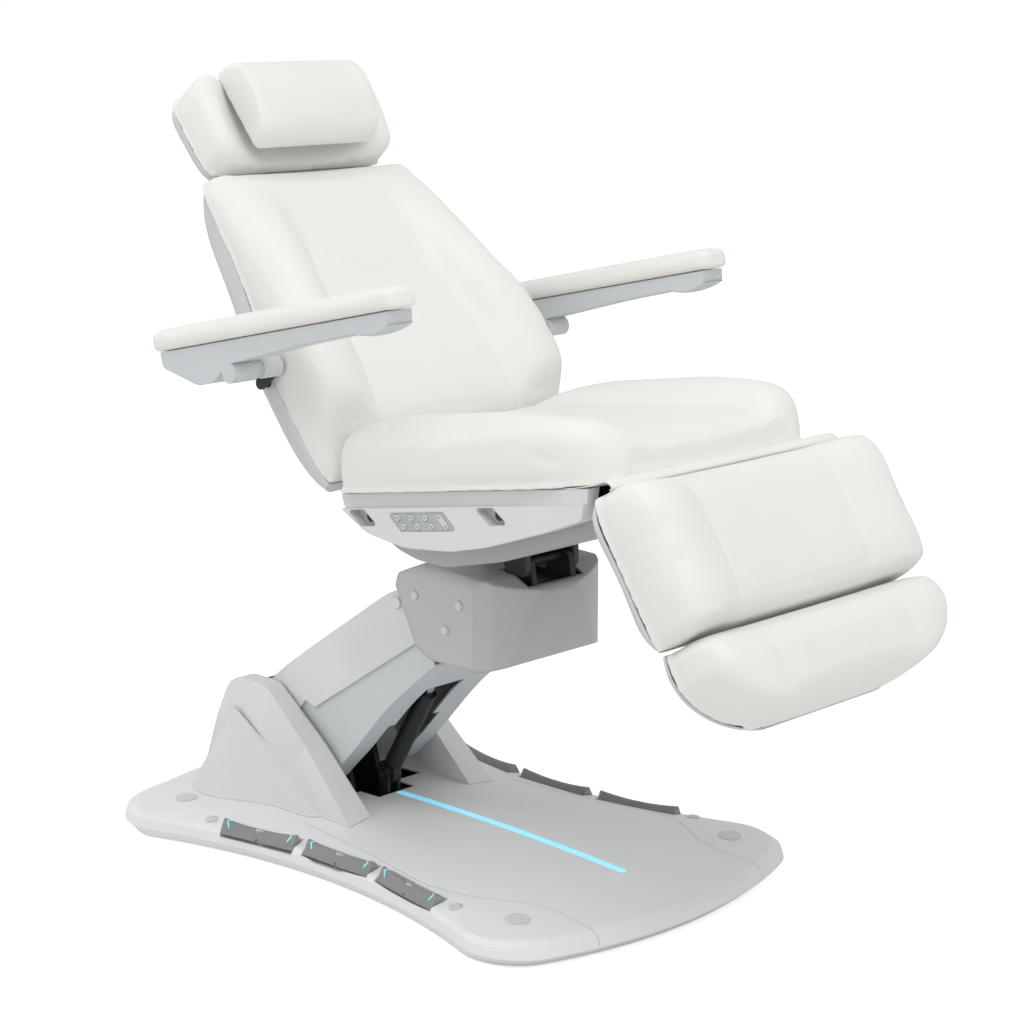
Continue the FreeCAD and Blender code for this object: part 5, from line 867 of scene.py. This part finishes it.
def stroke(node, path, direction, width, lift=MARK_LIFT, step=MARK_STEP, closed=False):
    """Vertices and faces of a thin ribbon that follows a path dropped on the node along a direction."""
    direction = Vector(direction).normalized()
    points = [Vector(p) for p in path]
    if closed:
        points.append(points[0])
    fine = []
    for a, b in zip(points, points[1:]):
        parts = max(1, int(math.ceil((b - a).length / step)))
        fine += [a.lerp(b, i / parts) for i in range(parts)]
    fine.append(points[-1])
    verts, faces = [], []
    last_good = False
    for i, p in enumerate(fine):
        before = fine[max(i - 1, 0)]
        after = fine[min(i + 1, len(fine) - 1)]
        if closed and i in (0, len(fine) - 1):
            before, after = fine[-2], fine[1]
        side = (after - before).cross(direction).normalized() * (width / 2)
        spots = [landed(node, p + side * k - direction * RAY_START, direction, lift) for k in (-1, 0, 1)]
        good = all(spot is not None for spot in spots)
        if good:
            if last_good:
                n = len(verts)
                faces += [(n - 3, n - 2, n + 1, n), (n - 2, n - 1, n + 2, n + 1)]
            verts += spots
        last_good = good
    return verts, faces


def marks(name, body, material, strokes):
    """One piece of all the strokes."""
    verts, faces = [], []
    for v, f in strokes:
        base = len(verts)
        verts += v
        faces += [tuple(base + i for i in face) for face in f]
    finish_piece(mesh_object(name, verts, faces), body, material)


def arc_path(centre, a, b, radius, start, end, count):
    """Points of an arc in the plane of a and b, both ends included."""
    angles = [start + (end - start) * i / count for i in range(count + 1)]
    return [centre + a * (radius * math.cos(t)) + b * (radius * math.sin(t)) for t in angles]


# Pedal marks: a chevron near each end, a small icon on the saddle and a screw hole in the outer side

DOWN = Vector((0, 0, -1))
PEDAL_MIDDLE = 0.017
PEDAL_PITCH = 0.193
PEDAL_SIDE = 0.275
PEDAL_SPREAD = 0.0175
PEDAL_TURN = math.radians(10.2)
ABOVE_PEDALS = 0.075
CHEVRON_PLACE = 0.0735
CHEVRON_OUT = 0.0040
CHEVRON_LENGTH = 0.0072
CHEVRON_SPREAD = 0.0050
CHEVRON_WIDTH = 0.0021
ICON_OUT = 0.0035
ICON_REACH = 0.008
ICON_WIDTH = 0.0011
ICON_LOOP = 0.0032
ICON_HOOK = 0.0028
ICON_FINE_WIDTH = 0.0010
HOLE_OUT = 0.03
HOLE_HEIGHT = 0.0405
HOLE_RADII = (0.0004, 0.0013)
HOLE_POINTS = 20


def mark_pedal(side_name, side, place_name, step):
    node = "pedal_%s_%s" % (side_name, place_name)
    a = step * side * PEDAL_TURN
    along = Vector((math.cos(a), math.sin(a), 0))
    across = Vector((-math.sin(a), math.cos(a), 0))
    out = PEDAL_SIDE + abs(step) * PEDAL_SPREAD
    middle = Vector((PEDAL_MIDDLE + step * PEDAL_PITCH, side * out, ABOVE_PEDALS))
    outward = across * side
    chevrons = []
    for end in (-1, 1):
        tip = middle + along * (end * CHEVRON_PLACE) + outward * CHEVRON_OUT
        for k in (-1, 1):
            foot = tip - along * (end * CHEVRON_LENGTH) + across * (k * CHEVRON_SPREAD)
            chevrons.append(stroke(node, [tip, foot], DOWN, CHEVRON_WIDTH))
    marks(node + "_chevrons", node, TEAL, chevrons)
    centre = middle + outward * ICON_OUT
    loop = arc_path(centre, along, across, ICON_LOOP, 0.25 * math.pi, 1.25 * math.pi, 28)
    icon = [stroke(node, [centre - along * ICON_REACH, centre + along * ICON_REACH], DOWN, ICON_WIDTH),
            stroke(node, loop, DOWN, ICON_FINE_WIDTH, step=FINE_STEP)]
    for k in (-1, 1):
        end = centre + along * (k * ICON_REACH)
        hook = end - along * (k * ICON_HOOK) + across * ICON_HOOK
        icon.append(stroke(node, [end, hook], DOWN, ICON_FINE_WIDTH))
    marks(node + "_icon", node, WHITE_MARK, icon)
    hole = Vector((middle.x, middle.y, HOLE_HEIGHT)) + outward * HOLE_OUT
    dots = []
    for radius in HOLE_RADII:
        circle = arc_path(hole, along, -DOWN, radius, 0, 2 * math.pi, HOLE_POINTS)[:-1]
        dots.append(stroke(node, circle, -outward, ICON_WIDTH, step=FINE_STEP, closed=True))
    marks(node + "_screw_hole", node, BLACK, dots)


for side_name, side in (("right", -1), ("left", 1)):
    for place_name, step in (("rear", -1), ("middle", 0), ("front", 1)):
        mark_pedal(side_name, side, place_name, step)


# Keypad: arrows on the keys, and pale blue dashes between the rows. Places in millimetres, strokes in metres

KEY_SIDE = Vector((0, 1, 0))
OUTSIDE_SEAT = -320
KEYPAD_TOP = -33
KEYPAD_HEIGHT = 30
KEYPAD_LENGTH = 131
KEYPAD_START = 102
KEYPAD_SLANT = 27
KEY_PITCH = 33
KEY_ROW = 14
KEY_COLUMNS = 4
DASH_REACH = 9
DASH_WIDTH = 0.0013
ARROW_TIP = 0.0017
ARROW_SPREAD = 0.0024
ARROW_FOOT = 0.0013
ARROW_WIDTH = 0.0009
seat_u = Vector(SEAT.u)
seat_n = Vector(SEAT.n)


def seat_right(u, n):
    return SEAT.at(u, OUTSIDE_SEAT, n)


def key_level(row):
    return KEYPAD_TOP - (KEYPAD_HEIGHT - KEY_ROW) / 2 - row * KEY_ROW


def key_place(column, n):
    margin = (KEYPAD_LENGTH - KEY_PITCH * (KEY_COLUMNS - 1)) / 2
    return KEYPAD_START + margin + column * KEY_PITCH + (KEYPAD_TOP - n) * KEYPAD_SLANT / KEYPAD_HEIGHT


for column in range(KEY_COLUMNS):
    for row, way in enumerate(("up", "down")):
        n = key_level(row)
        node = "key_%d_%s" % (column + 1, way) if column < KEY_COLUMNS - 1 else "key_4_rocker"
        centre = seat_right(key_place(column, n), n)
        flip = 1 if row == 0 else -1
        tip = centre + seat_n * (ARROW_TIP * flip)
        arms = []
        for k in (-1, 1):
            foot = centre + seat_u * (ARROW_SPREAD * k) - seat_n * (ARROW_FOOT * flip)
            arms.append(stroke(node, [tip, foot], KEY_SIDE, ARROW_WIDTH, step=FINE_STEP))
        marks("arrow_%d_%s" % (column + 1, way), node, DARK_MARK, arms)
dashes = []
between = key_level(0.5)
for column in range(KEY_COLUMNS - 1):
    u = key_place(column, between)
    ends = [seat_right(u - DASH_REACH, between), seat_right(u + DASH_REACH, between)]
    dashes.append(stroke("keypad_panel", ends, KEY_SIDE, DASH_WIDTH))
marks("keypad_dashes", "seat", BLUE_MARK, dashes)


# Sockets in the pockets: a dashed dark ring round each

SOCKET_PLACES = ((44.04, "rear"), (345.04, "front"))
SOCKET_LEVEL = -40.4
SOCKET_SIDE = 281
SOCKET_RING = 0.0077
SOCKET_RING_WIDTH = 0.0011
SOCKET_DASHES = 10
SOCKET_DASH_ANGLE = 0.38

for side_name, side in (("left", 1), ("right", -1)):
    inward = Vector((0, -side, 0))
    for u, place in SOCKET_PLACES:
        centre = SEAT.at(u, side * SOCKET_SIDE, SOCKET_LEVEL)
        ring = []
        for k in range(SOCKET_DASHES):
            start = 2 * math.pi * k / SOCKET_DASHES
            dash = arc_path(centre, seat_u, seat_n, SOCKET_RING, start, start + SOCKET_DASH_ANGLE, 6)
            ring.append(stroke("accessory_sockets", dash, inward, SOCKET_RING_WIDTH, step=FINE_STEP))
        marks("socket_ring_%s_%s" % (side_name, place), "seat", BLACK, ring)


# Seam of the base cover, two fine lines that swing from the waist to the front edge

SEAM_PLACES = [
    (-150, 214), (-40, 226), (70, 240), (160, 258), (240, 270), (312, 266), (372, 240), (420, 214),
    (470, 205), (530, 208), (590, 214),
]
ABOVE_DECK = 0.12
SEAM_WIDTH = 0.0009
SEAM_LIFT = 0.00012
SEAM_STEP = 0.004


def base_seam(side):
    at = np.linspace(SEAM_PLACES[0][0], SEAM_PLACES[-1][0], 160)
    y = smooth_table(SEAM_PLACES, at)[0]
    path = [Vector((x * MM, side * v * MM, ABOVE_DECK)) for x, v in zip(at, y)]
    return stroke("base_cover", path, DOWN, SEAM_WIDTH, lift=SEAM_LIFT, step=SEAM_STEP)


marks("base_seam", "base", SEAM, [base_seam(side) for side in (-1, 1)])


# Cloth bridge between the seat and the leg rest, in millimetres

FRONT_SIDES = (0, 200, 226, 245, 262, 275, 284)
FRONT_PLACES = (565, 564, 560, 548, 533, 514, 498)
BRIDGE_TUCK = 9
BRIDGE_EDGE = 572
BRIDGE_UNDER = ((0, 0.8), (0.35, 2.2), (0.7, 4.4))
BRIDGE_FOLD = ((573.0, 8.6), (579.5, 10.8), (587.0, 8.8), (594.0, 3.6), (595.4, -0.4), (590.0, -4.0))
BRIDGE_ARM_SIDE = 152
BRIDGE_ARM_FADE = 10
BRIDGE_ARM_DROP = 1.2
BRIDGE_HALF_WIDTH = 283
BRIDGE_OUTER_FROM = 150
BRIDGE_INNER_TO = 146
BRIDGE_POINTS = 40
BRIDGE_PASSES = 6
BRIDGE_HALF_WALL = 0.9
BRIDGE_WAVES = ((0.25, 31, 0.0), (0.175, 13, 1.2))


def bridge_path(y):
    """The bridge's section at y, as u and n: from under the seat front, over the fold, to the leg cushion."""
    outside = float(ease((abs(y) - BRIDGE_ARM_SIDE) / BRIDGE_ARM_FADE))
    start = float(np.interp(abs(y), FRONT_SIDES, FRONT_PLACES)) - BRIDGE_TUCK
    reach = BRIDGE_EDGE - start
    under = [(start + reach * share, n - BRIDGE_ARM_DROP * outside) for share, n in BRIDGE_UNDER]
    return np.array(under + list(BRIDGE_FOLD))


def bridge_ring(y):
    """The closed section of the sheet at y, smoothed and with a faint wave along the fold."""
    line = bridge_path(y)
    t = np.linspace(0, len(line) - 1, BRIDGE_POINTS)
    line = np.column_stack([np.interp(t, range(len(line)), line[:, k]) for k in (0, 1)])
    for _ in range(BRIDGE_PASSES):
        line[1:-1] = 0.5 * line[1:-1] + 0.25 * (line[2:] + line[:-2])
    wave = sum(height * math.sin(y / length + shift) for height, length, shift in BRIDGE_WAVES)
    line[:, 1] += wave * np.sin(np.linspace(0, math.pi, BRIDGE_POINTS))
    way = np.gradient(line, axis=0)
    way /= np.linalg.norm(way, axis=1, keepdims=True)
    off = np.column_stack([-way[:, 1], way[:, 0]]) * BRIDGE_HALF_WALL
    both = np.vstack([line + off, (line - off)[::-1]])
    return np.column_stack([both[:, 0], np.full(len(both), y), both[:, 1]])


def make_bridge():
    outer = np.linspace(BRIDGE_OUTER_FROM, BRIDGE_HALF_WIDTH, 40)
    inner = np.linspace(-BRIDGE_INNER_TO, BRIDGE_INNER_TO, 60)
    rings = [bridge_ring(y) for y in np.concatenate([-outer[::-1], inner, outer])]
    thing = rings_to_mesh("cloth_bridge", rings, SEAT)
    thing.data.materials.append(LEATHER)
    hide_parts("seat_flap")
    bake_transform(thing)


make_bridge()


# Collars on the armrest axles, in millimetres

COLLAR_PROFILE = [(0, 0), (17, 0), (17, 38), (15.5, 40.5), (12.5, 41.5), (12.5, 53), (0, 53)]
COLLAR_SIDE = 301.5
TURNED_POINTS = 40
LEAST_RADIUS = 0.02
SHARP_ANGLE = math.radians(50)


def turned(name, body, material, centre, axis, profile):
    """A turned part: the profile holds radius and height along the axis."""
    axis = Vector(axis).normalized()
    a = axis.orthogonal().normalized()
    b = axis.cross(a)
    verts = []
    for r, h in profile:
        for k in range(TURNED_POINTS):
            t = 2 * math.pi * k / TURNED_POINTS
            out = (a * math.cos(t) + b * math.sin(t)) * (max(r, LEAST_RADIUS) * MM)
            verts.append(centre + axis * (h * MM) + out)
    thing = mesh_object(name, verts, tube_faces(len(profile), TURNED_POINTS))
    modifier = thing.modifiers.new("edges", "EDGE_SPLIT")
    modifier.split_angle = SHARP_ANGLE
    apply_modifiers(thing)
    finish_piece(thing, body, material)


for side_name, side in (("left", 1), ("right", -1)):
    root = ARM.at(0, side * COLLAR_SIDE, 0)
    turned("arm_collar_" + side_name, "back", BEAM, root, (0, side, 0), COLLAR_PROFILE)


# Floor, backdrop and light

FLOOR_TONE = (0.86, 0.86, 0.86, 1)
FLOOR_LIFT = 0.58
FLOOR_REACH = 14
WHITE = (1, 1, 1, 1)
SKY_STRENGTH = 0.70

floor_material = bpy.data.materials.new("floor")
floor_material.use_nodes = True
tree = floor_material.node_tree
surface = tree.nodes["Principled BSDF"]
surface.inputs["Base Color"].default_value = FLOOR_TONE
surface.inputs["Roughness"].default_value = 0.85
surface.inputs["Specular IOR Level"].default_value = 0.0
lift = tree.nodes.new("ShaderNodeEmission")
lift.inputs["Color"].default_value = WHITE
seen = tree.nodes.new("ShaderNodeLightPath")
share = tree.nodes.new("ShaderNodeMath")
share.operation = "MULTIPLY"
share.inputs[1].default_value = FLOOR_LIFT
tree.links.new(seen.outputs["Is Camera Ray"], share.inputs[0])
tree.links.new(share.outputs[0], lift.inputs["Strength"])
both = tree.nodes.new("ShaderNodeAddShader")
tree.links.new(surface.outputs[0], both.inputs[0])
tree.links.new(lift.outputs[0], both.inputs[1])
tree.links.new(both.outputs[0], tree.nodes["Material Output"].inputs["Surface"])
floor_corners = [(x * FLOOR_REACH, y * FLOOR_REACH, 0) for x, y in ((-1, -1), (1, -1), (1, 1), (-1, 1))]
floor_mesh = mesh_object("floor", floor_corners, [(0, 1, 2, 3)], False)
floor_mesh.data.materials.append(floor_material)

world = bpy.data.worlds.new("world")
bpy.context.scene.world = world
world.use_nodes = True
tree = world.node_tree
background = tree.nodes["Background"]
background.inputs["Color"].default_value = WHITE
background.inputs["Strength"].default_value = SKY_STRENGTH
white = tree.nodes.new("ShaderNodeBackground")
white.inputs["Color"].default_value = WHITE
white.inputs["Strength"].default_value = 1.0
mixer = tree.nodes.new("ShaderNodeMixShader")
paths = tree.nodes.new("ShaderNodeLightPath")
tree.links.new(paths.outputs["Is Camera Ray"], mixer.inputs["Fac"])
tree.links.new(background.outputs[0], mixer.inputs[1])
tree.links.new(white.outputs[0], mixer.inputs[2])
tree.links.new(mixer.outputs[0], tree.nodes["World Output"].inputs["Surface"])


def lamp(name, place, target, size, power):
    """A round soft lamp that faces its target."""
    data = bpy.data.lights.new(name, "AREA")
    data.shape = "DISK"
    data.size = size
    data.energy = power
    thing = bpy.data.objects.new(name, data)
    bpy.context.scene.collection.objects.link(thing)
    thing.location = place
    way = Vector(target) - Vector(place)
    thing.rotation_euler = way.to_track_quat("-Z", "Y").to_euler()


lamp("key_lamp", (1.6, -1.2, 4.2), (0, 0, 0.7), 3.0, 48)
lamp("fill_lamp", (4.2, -1.5, 2.2), (0.2, 0, 0.7), 3.2, 9)
lamp("rim_lamp", (-3.0, -2.4, 2.6), (0, 0, 0.8), 2.4, 24)

scene = bpy.context.scene
scene.view_settings.view_transform = "Standard"
